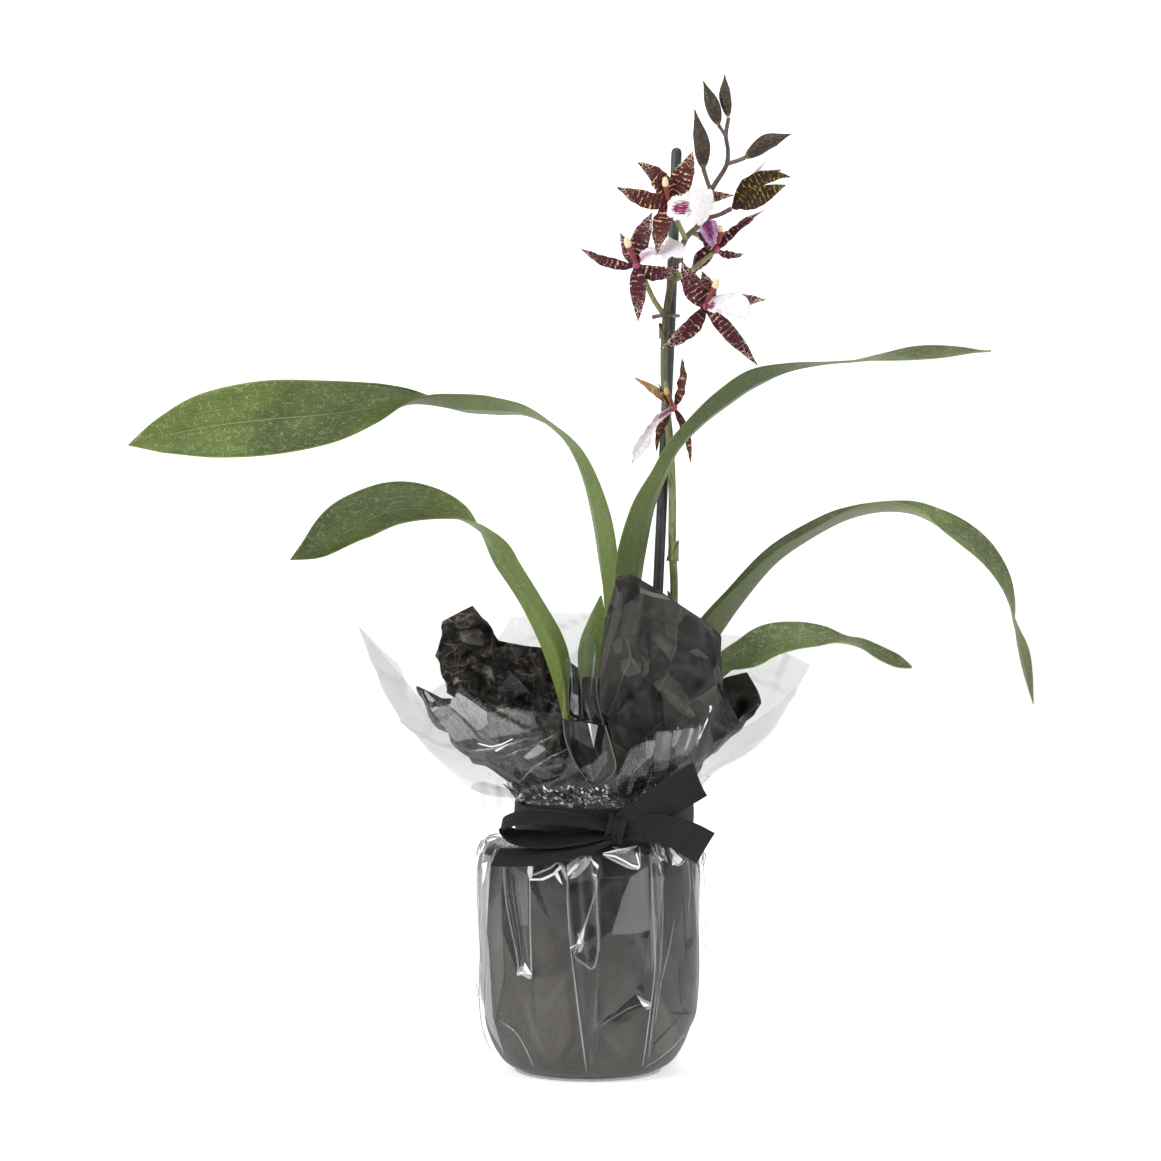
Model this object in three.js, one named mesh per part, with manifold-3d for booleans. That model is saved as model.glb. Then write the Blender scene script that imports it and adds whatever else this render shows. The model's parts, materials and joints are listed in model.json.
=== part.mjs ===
// An oncidium orchid in its nursery pot, gift-wrapped in tissue paper and clear film.
// Millimetres, +Z up, +X right, -Y toward the viewer. The wrapped pot stands on z = 0.
import * as THREE from "three";
import { mergeVertices } from "three/addons/utils/BufferGeometryUtils.js";
import Module from "manifold-3d";

const wasm = await Module();
wasm.setup();

const gap = 0.35; // clearance between two pieces that touch
const skin = 0.8; // thickness of the tissue and of the film as drawn

// pot and what fills it
const potRim = 58.5;
const potFoot = 38.5;
const potHeight = 114;
const potWall = 1.4;
const potLift = 2.6; // the pot stands on the film and the tissue
const barkTop = 104;

// neck that the ribbon draws in
const neckX = 8;
const neckLow = 139.5;
const neckHigh = 155;
const bandInner = 50.1;
const ribbonThick = 0.9;
const bandFacets = 42;

const wrapColumns = 48;

const rad = THREE.MathUtils.degToRad;
const vec = (x, y, z) => new THREE.Vector3(x, y, z);

// A repeatable value from 0 to 1 for a whole number.
function scatter(n) {
  const s = Math.sin(n * 127.1 + 311.7) * 43758.5453;
  return s - Math.floor(s);
}

function closedGeometry(points, faces) {
  const geometry = new THREE.BufferGeometry();
  geometry.setAttribute("position", new THREE.Float32BufferAttribute(points.flatMap((p) => p.toArray()), 3));
  geometry.setIndex(faces.flat());
  return geometry;
}

function asSolid(geometry) {
  const bare = geometry.clone();
  bare.deleteAttribute("normal");
  bare.deleteAttribute("uv");
  const merged = mergeVertices(bare, 1e-4);
  const mesh = new wasm.Mesh({
    numProp: 3,
    vertProperties: new Float32Array(merged.attributes.position.array),
    triVerts: new Uint32Array(merged.index.array),
  });
  return new wasm.Manifold(mesh);
}

// Keeps the biggest body and drops the scraps that a cut leaves.
function mainBody(solid) {
  const bodies = solid.decompose();
  return bodies.reduce((best, body) => (body.volume() > best.volume() ? body : best));
}

function joined(solids) {
  return solids.reduce((sum, solid) => sum.add(solid));
}

function without(solid, cutters) {
  return mainBody(cutters.reduce((rest, cutter) => rest.subtract(cutter), solid));
}

function asGeometry(solid) {
  const mesh = solid.getMesh();
  const geometry = new THREE.BufferGeometry();
  geometry.setAttribute("position", new THREE.Float32BufferAttribute(mesh.vertProperties, 3));
  geometry.setIndex(Array.from(mesh.triVerts));
  return geometry;
}

// Faces of a closed skin over rings of points, each ring having the same count.
function ringFaces(rings, count, from = 0) {
  const faces = [];
  for (let i = 0; i < rings - 1; i++) {
    for (let j = 0; j < count; j++) {
      const a = from + i * count + j;
      const b = from + i * count + ((j + 1) % count);
      faces.push([a, b, b + count], [a, b + count, a + count]);
    }
  }
  return faces;
}

// A rod or taper along a smooth path: rows are [x, y, z, radius].
function rod(rows, sides, steps, grow = 0) {
  const spine = new THREE.CatmullRomCurve3(rows.map(([x, y, z]) => vec(x, y, z)), false, "centripetal");
  const radii = new THREE.CatmullRomCurve3(rows.map((row) => vec(row[3], 0, 0)), false, "catmullrom", 0.3);
  const points = [];
  let side = vec(0, 1, 0);
  for (let i = 0; i <= steps; i++) {
    const u = i / steps;
    const along = spine.getTangent(u);
    side = side.clone().addScaledVector(along, -side.dot(along)).normalize();
    const other = along.clone().cross(side);
    for (let j = 0; j < sides; j++) {
      const turn = (j / sides) * Math.PI * 2;
      const reach = Math.max(radii.getPoint(u).x, 0.3) + grow;
      const p = spine.getPoint(u);
      p.addScaledVector(side, Math.cos(turn) * reach).addScaledVector(other, Math.sin(turn) * reach);
      points.push(p);
    }
  }
  points.push(spine.getPoint(0).addScaledVector(spine.getTangent(0), -0.3 - grow));
  points.push(spine.getPoint(1).addScaledVector(spine.getTangent(1), 0.3 + grow));
  const faces = ringFaces(steps + 1, sides);
  const first = points.length - 2;
  const last = steps * sides;
  for (let j = 0; j < sides; j++) {
    const next = (j + 1) % sides;
    faces.push([first, next, j], [first + 1, last + j, last + next]);
  }
  return closedGeometry(points, faces);
}

// A blade along a smooth midrib: rows are [x, y, z, width, roll, fold].
// Roll 0 faces the viewer. Fold lifts both halves toward the upper side, so the midrib is a keel.
function blade(rows, form) {
  const { steps, across = 2, middle = 1.6, edge = 0.7, wave = 0, waves = 3, grow = 0 } = form;
  const spine = new THREE.CatmullRomCurve3(rows.map(([x, y, z]) => vec(x, y, z)), false, "centripetal");
  const widths = rows.map(([, , , width, roll, fold]) => vec(width, roll, fold));
  const shape = new THREE.CatmullRomCurve3(widths, false, "catmullrom", 0.5);
  const toViewer = vec(0, -1, 0);
  const count = across * 2 + 1;
  const points = [];
  for (let i = 0; i <= steps; i++) {
    const u = i / steps;
    const centre = spine.getPoint(u);
    const along = spine.getTangent(u);
    const { x: width, y: roll, z: fold } = shape.getPoint(u);
    const facing = toViewer.clone().addScaledVector(along, -toViewer.dot(along)).normalize();
    const flat = along.clone().cross(facing);
    const normal = facing.clone().applyAxisAngle(along, rad(roll));
    const side = flat.clone().applyAxisAngle(along, rad(roll));
    const half = Math.max(width, 1) / 2 + grow;
    for (const face of [1, -1]) {
      for (let j = 0; j < count; j++) {
        const k = j / across - 1;
        const size = Math.abs(k);
        const sign = Math.sign(k);
        const thick = (middle + (edge - middle) * size) / 2 + grow;
        const lift = Math.sin(rad(fold)) * half * size;
        const ripple = wave * size * size * Math.sin(Math.PI * 2 * waves * u + k * 1.7);
        const p = centre.clone();
        p.addScaledVector(side, Math.cos(rad(fold)) * half * k - sign * Math.sin(rad(fold)) * thick * face);
        p.addScaledVector(normal, lift + ripple + Math.cos(rad(fold)) * thick * face);
        points.push(p);
      }
    }
  }
  const faces = [];
  const ring = count * 2;
  for (let i = 0; i < steps; i++) {
    const here = i * ring;
    const there = here + ring;
    for (let j = 0; j < count - 1; j++) {
      faces.push([here + j, here + j + 1, there + j + 1], [here + j, there + j + 1, there + j]);
      const low = here + count + j;
      const high = there + count + j;
      faces.push([low, high + 1, low + 1], [low, high, high + 1]);
    }
    faces.push([here, there, there + count], [here, there + count, here + count]);
    const end = count - 1;
    faces.push([here + end, there + end + count, there + end]);
    faces.push([here + end, here + end + count, there + end + count]);
  }
  const last = steps * ring;
  for (let j = 0; j < count - 1; j++) {
    faces.push([j, j + count, j + count + 1], [j, j + count + 1, j + 1]);
    faces.push([last + j, last + j + count + 1, last + j + count]);
    faces.push([last + j, last + j + 1, last + j + count + 1]);
  }
  return closedGeometry(points, faces);
}

// ---- wraps -------------------------------------------------------------------------------

// Each row of the body is [radius, height, centre x]. The flare follows guides round the neck.
const filmBody = [
  [42, 0, -1], [51, 4, -1], [59.5, 19, -1], [64, 37, 0], [65, 121, 0], [63, 132, 2],
  [49.3, 137.6, neckX], [48.5, neckHigh + 1, neckX],
];
const tissueBody = [
  [40.5, 1.3, -1], [48.6, 6, -1], [56.6, 20.2, -1], [61.1, 37.5, 0], [62.2, 119, 0], [59.6, 129, 2],
  [46.2, 137.4, neckX], [45.4, neckHigh + 1.2, neckX],
];

// Guides are [angle, r1, z1, r2, z2, r3, z3] about the neck's axis: out, up and to the torn rim.
const tissueGuides = [
  [0, 54, 172, 68, 187, 91, 209],
  [15, 52, 172, 66, 192, 86, 226],
  [30, 50, 175, 57, 195, 66, 219],
  [60, 48, 175, 52, 195, 56, 214],
  [90, 47, 175, 50, 195, 52, 215],
  [120, 48, 176, 53, 205, 58, 237],
  [135, 50, 178, 60, 213, 66, 240],
  [142.5, 51, 179, 66, 218, 77, 243],
  [150, 52, 180, 72, 221, 88, 263.5],
  [157.5, 53.5, 178, 77, 217, 101, 255],
  [165, 55, 177, 78, 208, 99, 237],
  [172.5, 55.5, 174, 73, 192, 88, 212],
  [180, 56.5, 171, 74, 183, 90, 202],
  [187.5, 59, 169, 84, 182, 108, 221],
  [202.5, 58, 169, 82, 184, 99, 216],
  [217.5, 56, 169, 74, 186, 86, 214],
  [225, 54.5, 169, 69, 188, 78, 213],
  [240, 51, 170, 59, 190, 62, 209],
  [255, 48, 170, 51, 188, 52, 203],
  [262.5, 46.5, 168, 48, 180, 49, 202],
  [270, 46, 175, 49, 217, 51, 262],
  [277.5, 47, 178, 51, 228, 51.5, 285],
  [285, 47.5, 178, 52, 230, 54, 287],
  [300, 48, 178, 56, 226, 59.5, 278],
  [322.5, 50, 178, 62, 218, 73, 259],
  [330, 51, 175, 64, 211, 76, 251],
  [337.5, 52, 170, 63, 194, 72, 220],
  [345, 52.5, 169, 63, 183, 80, 200],
  [352.5, 53, 170, 66, 185, 90, 207],
];
const filmGuides = [
  [0, 60, 168, 92, 190, 118, 232],
  [15, 57, 169, 84, 200, 100, 241],
  [22.5, 57.5, 170, 78, 204, 92, 246],
  [30, 57, 170, 71, 206, 81, 247],
  [45, 54, 172, 62, 207, 67, 257],
  [90, 53, 172, 58, 207, 63, 258],
  [120, 55, 172, 64, 207, 69, 259],
  [135, 57, 172, 70, 206, 76, 256],
  [142.5, 58, 172, 77, 202, 88, 230],
  [150, 60, 170, 84, 196, 100, 221],
  [165, 63, 168, 90, 188, 108, 212],
  [180, 70, 164, 96, 186, 112, 216],
  [187.5, 74, 163, 106, 192, 117, 233],
  [195, 78, 163, 121, 206, 143.5, 258],
  [202.5, 72, 163, 100, 188, 108, 212],
  [210, 67, 164, 93, 184, 101, 214],
  [217.5, 65, 164, 88, 184, 101, 225],
  [225, 62, 164, 82, 184, 92, 213],
  [240, 58, 164, 70, 182, 74, 198],
  [247.5, 56, 165, 62, 182, 65, 204],
  [255, 53.5, 168, 57, 192, 60, 224],
  [262.5, 53, 168, 55, 208, 56, 256],
  [270, 52, 166, 54, 186, 57, 212],
  [277.5, 51.5, 165, 54.5, 176, 57, 188],
  [300, 53, 165, 60, 178, 65, 193],
  [322.5, 55, 166, 66, 180, 77, 197],
  [337.5, 58, 167, 76, 180, 90, 202],
  [345, 59, 168, 83, 184, 102, 212],
];

function guideAt(guides, angle) {
  const after = guides.findIndex((guide) => guide[0] > angle);
  const next = after < 0 ? [guides[0][0] + 360, ...guides[0].slice(1)] : guides[after];
  const here = after < 0 ? guides[guides.length - 1] : guides[after - 1];
  const part = (angle - here[0]) / (next[0] - here[0]);
  return here.map((value, i) => value + (next[i] - value) * part);
}

// Outer rows of a wrap, foot to rim, at one angle: the body, then the flare in four rows.
function wrapRow(body, guides, column, form) {
  const angle = (column / wrapColumns) * 360;
  const guide = guideAt(guides, angle);
  const [, r1, z1, r2, z2, r3, z3] = guide;
  const neck = body[body.length - 1];
  const flare = [[r1, z1], [r2, z2], [(r2 + r3) / 2, (z2 + z3) / 2], [r3, z3]];
  const rows = [...body, ...flare.map(([r, z]) => [r, z, neckX])];
  return rows.map(([radius, height, centreX], row) => {
    const pleat = scatter(column * 3 + form.seed) - 0.5;
    const crease = scatter(column * 31 + row * 7 + form.seed) - 0.5;
    const inFlare = row >= body.length;
    const size = inFlare ? form.crumple : form.pleats * (row < 2 || row > 4 ? 0.45 : 1);
    const r = radius + size * (inFlare ? crease * 2 : pleat * 1.4 + crease * 0.6);
    const lift = row > body.length ? form.crumple * 1.2 * (scatter(column * 17 + row) - 0.5) : 0;
    return vec(centreX + r * Math.cos(rad(angle)), r * Math.sin(rad(angle)), height + lift);
  });
}

function wrap(body, guides, form) {
  const columns = Array.from({ length: wrapColumns }, (_, j) => wrapRow(body, guides, j, form));
  const rows = columns[0].length;
  const outer = [];
  const inner = [];
  for (let i = 0; i < rows; i++) {
    for (let j = 0; j < wrapColumns; j++) {
      const p = columns[j][i];
      const left = columns[(j + 1) % wrapColumns][i];
      const right = columns[(j + wrapColumns - 1) % wrapColumns][i];
      const up = columns[j][Math.min(i + 1, rows - 1)];
      const down = columns[j][Math.max(i - 1, 0)];
      const normal = left.clone().sub(right).cross(up.clone().sub(down)).normalize();
      if (i === 0) normal.set(0, 0, -1);
      outer.push(p);
      inner.push(p.clone().addScaledVector(normal, -skin));
    }
  }
  const total = rows * wrapColumns;
  const footHeight = body[0][1];
  const points = [...outer, ...inner, vec(body[0][2], 0, footHeight), vec(body[0][2], 0, footHeight + skin)];
  const faces = ringFaces(rows, wrapColumns);
  ringFaces(rows, wrapColumns, total).forEach(([a, b, c]) => faces.push([a, c, b]));
  const rim = (rows - 1) * wrapColumns;
  for (let j = 0; j < wrapColumns; j++) {
    const next = (j + 1) % wrapColumns;
    faces.push([rim + j, rim + next, total + rim + next], [rim + j, total + rim + next, total + rim + j]);
    faces.push([2 * total, next, j], [2 * total + 1, total + j, total + next]);
  }
  return closedGeometry(points, faces);
}

// ---- pot, bark, bulbs ---------------------------------------------------------------------

function lathe(profile, segments) {
  const points = profile.map(([r, z]) => new THREE.Vector2(r, z));
  return new THREE.LatheGeometry(points, segments).rotateX(Math.PI / 2);
}

function growPot() {
  const foot = potLift;
  const top = potLift + potHeight;
  const shell = asSolid(lathe([
    [0, foot], [potFoot, foot], [potRim - 2.4, top - 12], [potRim, top - 12], [potRim, top],
    [potRim - potWall - 1, top], [potRim - 2.4 - potWall, top - 12], [potFoot - potWall, foot + potWall],
    [0, foot + potWall],
  ], 24));
  const holes = [0, 60, 120, 180, 240, 300].map((turn) => {
    const x = 30 * Math.cos(rad(turn));
    const y = 30 * Math.sin(rad(turn));
    return asSolid(rod([[x, y, foot - 2, 3.5], [x, y, foot + 4, 3.5]], 8, 1));
  });
  return without(shell, holes);
}

// Bulbs are [foot x, y, top x, y, top z, half width].
const bulbs = [
  [-20, 2, -13.5, -20, 199, 13],
  [8, 0, 16, -5, 201, 14],
  [30, -2, 51, -1, 200, 11],
];

function bulbCluster(grow) {
  const bodies = bulbs.map(([x0, y0, x1, y1, top, wide]) => {
    const low = barkTop - 4;
    const at = (k, size) => [x0 + (x1 - x0) * k, y0 + (y1 - y0) * k, low + (top - low) * k, wide * size];
    return asSolid(rod([at(0, 0.62), at(0.25, 1), at(0.55, 0.92), at(0.85, 0.7), at(1, 0.58)], 9, 5, grow));
  });
  const low = barkTop - 1;
  const creeper = [[-30, 8, low - 2, 4], [-8, 4, low, 6], [18, 3, low, 6], [42, -4, low - 2, 4]];
  return joined([...bodies, asSolid(rod(creeper, 7, 5, grow))]);
}

function barkFill() {
  const foot = potLift + potWall + gap;
  const slope = (potRim - 2.4 - potFoot) / (potHeight - 12);
  const wallAt = (z) => potFoot - potWall + slope * (z - potLift) - gap - 0.9;
  const mound = asSolid(lathe([
    [0, foot], [wallAt(foot) - 1, foot], [wallAt(barkTop - 3) - 0.5, barkTop - 3], [34, barkTop],
    [0, barkTop + 1],
  ], 22));
  const chips = [];
  const chipCount = 12;
  for (let i = 0; i < chipCount; i++) {
    const turn = scatter(i) * Math.PI * 2;
    const out = 6 + 36 * Math.sqrt(scatter(i + 50));
    const size = 5 + 5 * scatter(i + 90);
    const chip = new THREE.BoxGeometry(size * 1.7, size, size * 0.7);
    chip.rotateX(scatter(i + 130) - 0.5);
    chip.rotateY(scatter(i + 170) - 0.5);
    chip.rotateZ(scatter(i + 210) * Math.PI);
    chip.translate(Math.cos(turn) * out, Math.sin(turn) * out, barkTop + 0.5);
    chips.push(asSolid(chip));
  }
  return joined([mound, ...chips]);
}

// ---- leaves -------------------------------------------------------------------------------

const leaves = {
  leaf_upper_left: [
    [13.8, -0.5, 190, 7, 125, 58], [13, 1, 203, 8, 125, 58], [10.5, 2, 236.5, 14, 125, 46],
    [8, 0, 276, 19, 122, 32],
    [3.5, 4, 317, 20, 126, 20],
    [-7, 10, 349, 19.5, 114, 12], [-20, 17, 366, 19, 96, 6], [-37, 24, 375.5, 22, 104, 8],
    [-56.5, 30, 377.5, 25, 114, 12], [-78, 36, 378.5, 28, 110, 12], [-99.5, 42, 381, 32, 84, 12],
    [-121.5, 46, 378.5, 35, 52, 12], [-151, 47, 374.5, 42, 30, 10], [-188, 45, 371.5, 46, 18, 10],
    [-223.5, 42, 367, 39, 14, 12], [-249, 38, 361.5, 21, 12, 14], [-267, 36, 357, 2, 12, 16],
  ],
  leaf_mid_left: [
    [-12.5, -20.5, 189, 7, 186, 50], [-12.5, -22, 201, 8, 186, 50], [-14.5, -25, 224, 15, 186, 40],
    [-20.5, -29, 246, 16, 186, 30],
    [-32.5, -32, 269.5, 13.5, 186, 26], [-46.5, -36, 290.5, 14, 160, 18], [-57, -40, 306, 21, 112, 12],
    [-69, -44, 315.5, 31, 82, 18], [-88, -50, 321.5, 37, 62, 18], [-109.5, -56, 321.5, 42, 54, 18],
    [-129.5, -62, 313, 42, 50, 18], [-149, -68, 301.5, 26, 46, 20], [-165.5, -71, 295.5, 2, 44, 20],
  ],
  leaf_upper_right: [
    [18.6, -9.5, 190, 8, -128, 58], [19.5, -11, 203, 10, -128, 58], [22.5, -13, 236.5, 18, -130, 46],
    [25.5, -15, 272, 26, -131, 32],
    [27.5, -16, 296.5, 27, -131, 24], [32.7, -21, 322.5, 22.5, -130, 20], [40.3, -25, 340, 18, -128, 18],
    [48.3, -29, 355.7, 17, -124, 16], [61.5, -33.5, 370, 19, -120, 16], [78, -40, 383, 26, -116, 16],
    [93, -45, 393, 28, -114, 14], [110, -47.5, 399.5, 24, -104, 10], [130.5, -49, 403.5, 22, -94, 5],
    [148, -49, 405, 22, -90, 5], [164, -48, 406.5, 24, -82, 6], [181, -47, 408, 25, -75, 8],
    [195, -45, 409, 24, -74, 8], [210, -43, 410, 15, -74, 8], [223.5, -41, 410.5, 2, -74, 8],
  ],
  leaf_mid_right: [
    [50.5, 1.5, 190, 8, -80, 60], [53, 2.2, 203, 10, -80, 60], [62, 7, 229, 24, -80, 58],
    [74.5, 12, 249, 30, -80, 56],
    [89.5, 18, 269.5, 25, -80, 50], [107.5, 26, 289.5, 23, -82, 40], [127.5, 34, 303, 25, -84, 30],
    [148.5, 42, 313.5, 26, -88, 26], [169, 52, 318, 27, -90, 22], [187, 59, 317, 28, -82, 18],
    [201.5, 65, 311.5, 30, -70, 14], [218, 70, 303, 29, -62, 12], [232, 74, 291.5, 27, -60, 12],
    [243, 77, 276, 23, -62, 12], [248.5, 79, 262.5, 19, -70, 10], [251.5, 80, 249.5, 16, -86, 8],
    [256, 80, 234.5, 13, -108, 10], [258.5, 79.5, 222.5, 11, -110, 10], [262.5, 78, 203, 2, -110, 10],
  ],
  leaf_short_right: [
    [50.5, -3.5, 190, 7, -66, 55], [54, -4, 202, 9, -66, 55], [66, -3, 215.5, 19, -64, 48],
    [80, -4, 229.5, 25, -60, 38],
    [91.5, -9, 236.5, 29, -54, 26], [103, -15, 244, 29, -50, 16], [116.5, -21, 247.3, 27, -54, 14],
    [130, -26, 247.8, 23, -62, 12], [142, -29, 247, 22, -82, 7], [153, -32, 245, 19, -76, 8],
    [164, -34, 240, 16, -66, 10], [172.5, -35, 236, 13, -64, 10], [180.5, -35, 233, 2, -64, 10],
  ],
  leaf_sheath: [
    [5, 8.5, 138, 9, 150, 50], [3.5, 13, 156, 12, 150, 50], [2, 16, 184, 16, 152, 40],
    [0.5, 16, 214, 19, 154, 32],
    [-1, 15.5, 238, 19, 150, 26], [2.5, 15, 257, 14, 142, 22], [6, 15, 271, 2, 136, 20],
  ],
};

// ---- flower stem, stake, clip ---------------------------------------------------------------

const stemPath = [
  [40, 15, 98, 3.2], [41, 16, 170, 2.9], [46, 15, 240, 2.4], [48.3, 14, 272, 2.3], [47.2, 11, 300, 2.3],
  [46.9, 4, 332, 2.2], [45.4, -2, 359, 2.2], [43, -4.5, 383, 2.2], [42, -5, 400, 2.1], [42.8, -5, 427, 2.1],
  [45, -4, 444.5, 2], [48.3, -2, 459, 1.9], [54.5, 1, 475, 1.7], [62, 2, 483, 1.6], [68.6, 2, 501.5, 1.5],
  [77.5, 2, 516.7, 1.3], [78.2, 2, 525, 1.2], [77, 1, 533, 1.2], [78.5, 0, 543, 1.1],
];
// Joints where a sheath once grew, a little thicker than the stem.
const stemNodes = [[48.3, 14, 264, 3], [47.3, 11.4, 295, 3.1], [42.5, -5, 422, 2.9],
[51, -0.5, 464.5, 2.5]];
// Short stalks: from a point on the stem to just behind a flower or bud.
const stalks = {
  flower_b: [[43, -4, 430, 1.6], [36, -8, 440, 1.5], [28.5, -14.5, 456.5, 1.3]],
  flower_a: [[54.4, 1, 474, 1.6], [50, -6, 483, 1.4], [45.5, -17, 492, 1.3]],
  flower_c: [[48, -2.5, 457, 1.5], [54.5, -6, 449, 1.3], [62, -11, 439.5, 1.2]],
  flower_d: [[46, -2, 450, 1.5], [55, 6, 455, 1.5], [64, 13, 462, 1.5], [70, 15.5, 467, 1.3]],
  flower_e: [[42, -4.5, 396, 1.4], [43.5, -8, 389, 1.2], [46, -11.5, 382, 1.2]],
  bud_left: [[68.6, 2, 501.5, 1.4], [66, 0, 508.5, 1.2], [64.2, -2, 514, 1.3]],
  bud_right: [[77.7, 2, 517, 1.3], [83, 1, 518.5, 1.2], [87.8, 0, 520.3, 1.3]],
  bud_second: [[77, 1, 532.5, 1.1], [74.7, 0, 536, 1], [72.8, -1, 538.5, 1.1]],
  bud_opening: [[64.4, 2, 486, 1.4], [73, -1, 488, 1.3], [79.8, -4, 491.3, 1.4]],
};

const stakePath = [[29, 15, 40, 3], [38.9, 10.2, 273, 3], [45.9, 7.2, 431, 3], [49.2, 5, 526.5, 3]];

// The clip's loop round the stem and the stake, seen from above.
const clipLoop = [
  [42.6, -9], [46.2, -7.2], [47.3, -2.5], [49, 2.5], [50.4, 6.5], [49.2, 10.7], [45.8, 12], [42.2, 10.6],
  [40.9, 6], [39.7, 1], [39.2, -3], [39.8, -7.2],
];
const clipHeight = 431;

function stemSolid() {
  const main = asSolid(rod(stemPath, 6, 21));
  const side = Object.values(stalks).map((rows) => asSolid(rod(rows, 5, 3)));
  const nodes = stemNodes.map(([x, y, z, r]) => {
    return asSolid(rod([[x, y, z, r * 0.7], [x, y, z + 3, r], [x, y, z + 6, r * 0.6]], 5, 2));
  });
  return mainBody(joined([main, ...side, ...nodes]));
}

// A closed hoop of round section through flat points at one height.
function hoop(flatPoints, height, radius, sides, steps) {
  const spine = new THREE.CatmullRomCurve3(flatPoints.map(([x, y]) => vec(x, y, height)), true);
  const points = [];
  for (let i = 0; i < steps; i++) {
    const centre = spine.getPoint(i / steps);
    const inward = vec(0, 0, 1).cross(spine.getTangent(i / steps));
    for (let j = 0; j < sides; j++) {
      const turn = (j / sides) * Math.PI * 2;
      const p = centre.clone().addScaledVector(inward, Math.cos(turn) * radius);
      points.push(p.add(vec(0, 0, Math.sin(turn) * radius)));
    }
  }
  const faces = ringFaces(steps, sides);
  const last = (steps - 1) * sides;
  for (let j = 0; j < sides; j++) {
    const next = (j + 1) % sides;
    faces.push([last + j, last + next, next], [last + j, next, j]);
  }
  return closedGeometry(points, faces);
}

function stemClip() {
  const tab = rod([[39.8, -7, clipHeight, 1], [35.4, -8.5, clipHeight - 1, 1.2]], 6, 1);
  return joined([asSolid(hoop(clipLoop, clipHeight, 1, 5, 22)), asSolid(tab)]);
}

// ---- buds: [foot, belly, tip] each [x, y, z], and the half width -----------------------------

const buds = {
  bud_top: [[78.3, 0, 543.7], [76.4, 0, 555], [76.3, 2, 567.3], 3.4],
  bud_second: [[72.7, -1, 539], [69.4, -2, 549.5], [64, -3, 563.4], 4.2],
  bud_left: [[64.1, -2, 514.5], [63.4, -3, 527.5], [59.1, -5, 547.2], 4.6],
  bud_right: [[88.3, 0, 520.6], [99.8, -1, 529], [113.5, -4, 533.4], 4.6],
};

function budRows([foot, belly, tip, wide]) {
  const between = (a, b, k) => a.map((value, i) => value + (b[i] - value) * k);
  return [
    [...foot, wide * 0.35], [...between(foot, belly, 0.5), wide * 0.85], [...belly, wide],
    [...between(belly, tip, 0.5), wide * 0.62], [...between(belly, tip, 0.82), wide * 0.25], [...tip, 0.35],
  ];
}

// The bud that is just opening: sepals that part at the tips round a pale scrap of lip.
const openingBud = {
  centre: [82.1, -4.5, 492.7],
  tepals: [
    [113.5, -6, 509, 11, -30, -2, 0, 5], [110.5, -9, 504.5, 11, 20, 0, -4, 1],
    [108.5, -2, 513.5, 9, 150, -3, 3, 4], [102.7, -6, 514.5, 4, 0, 0, 0, 2],
  ],
};

// ---- flowers ---------------------------------------------------------------------------------

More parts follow.
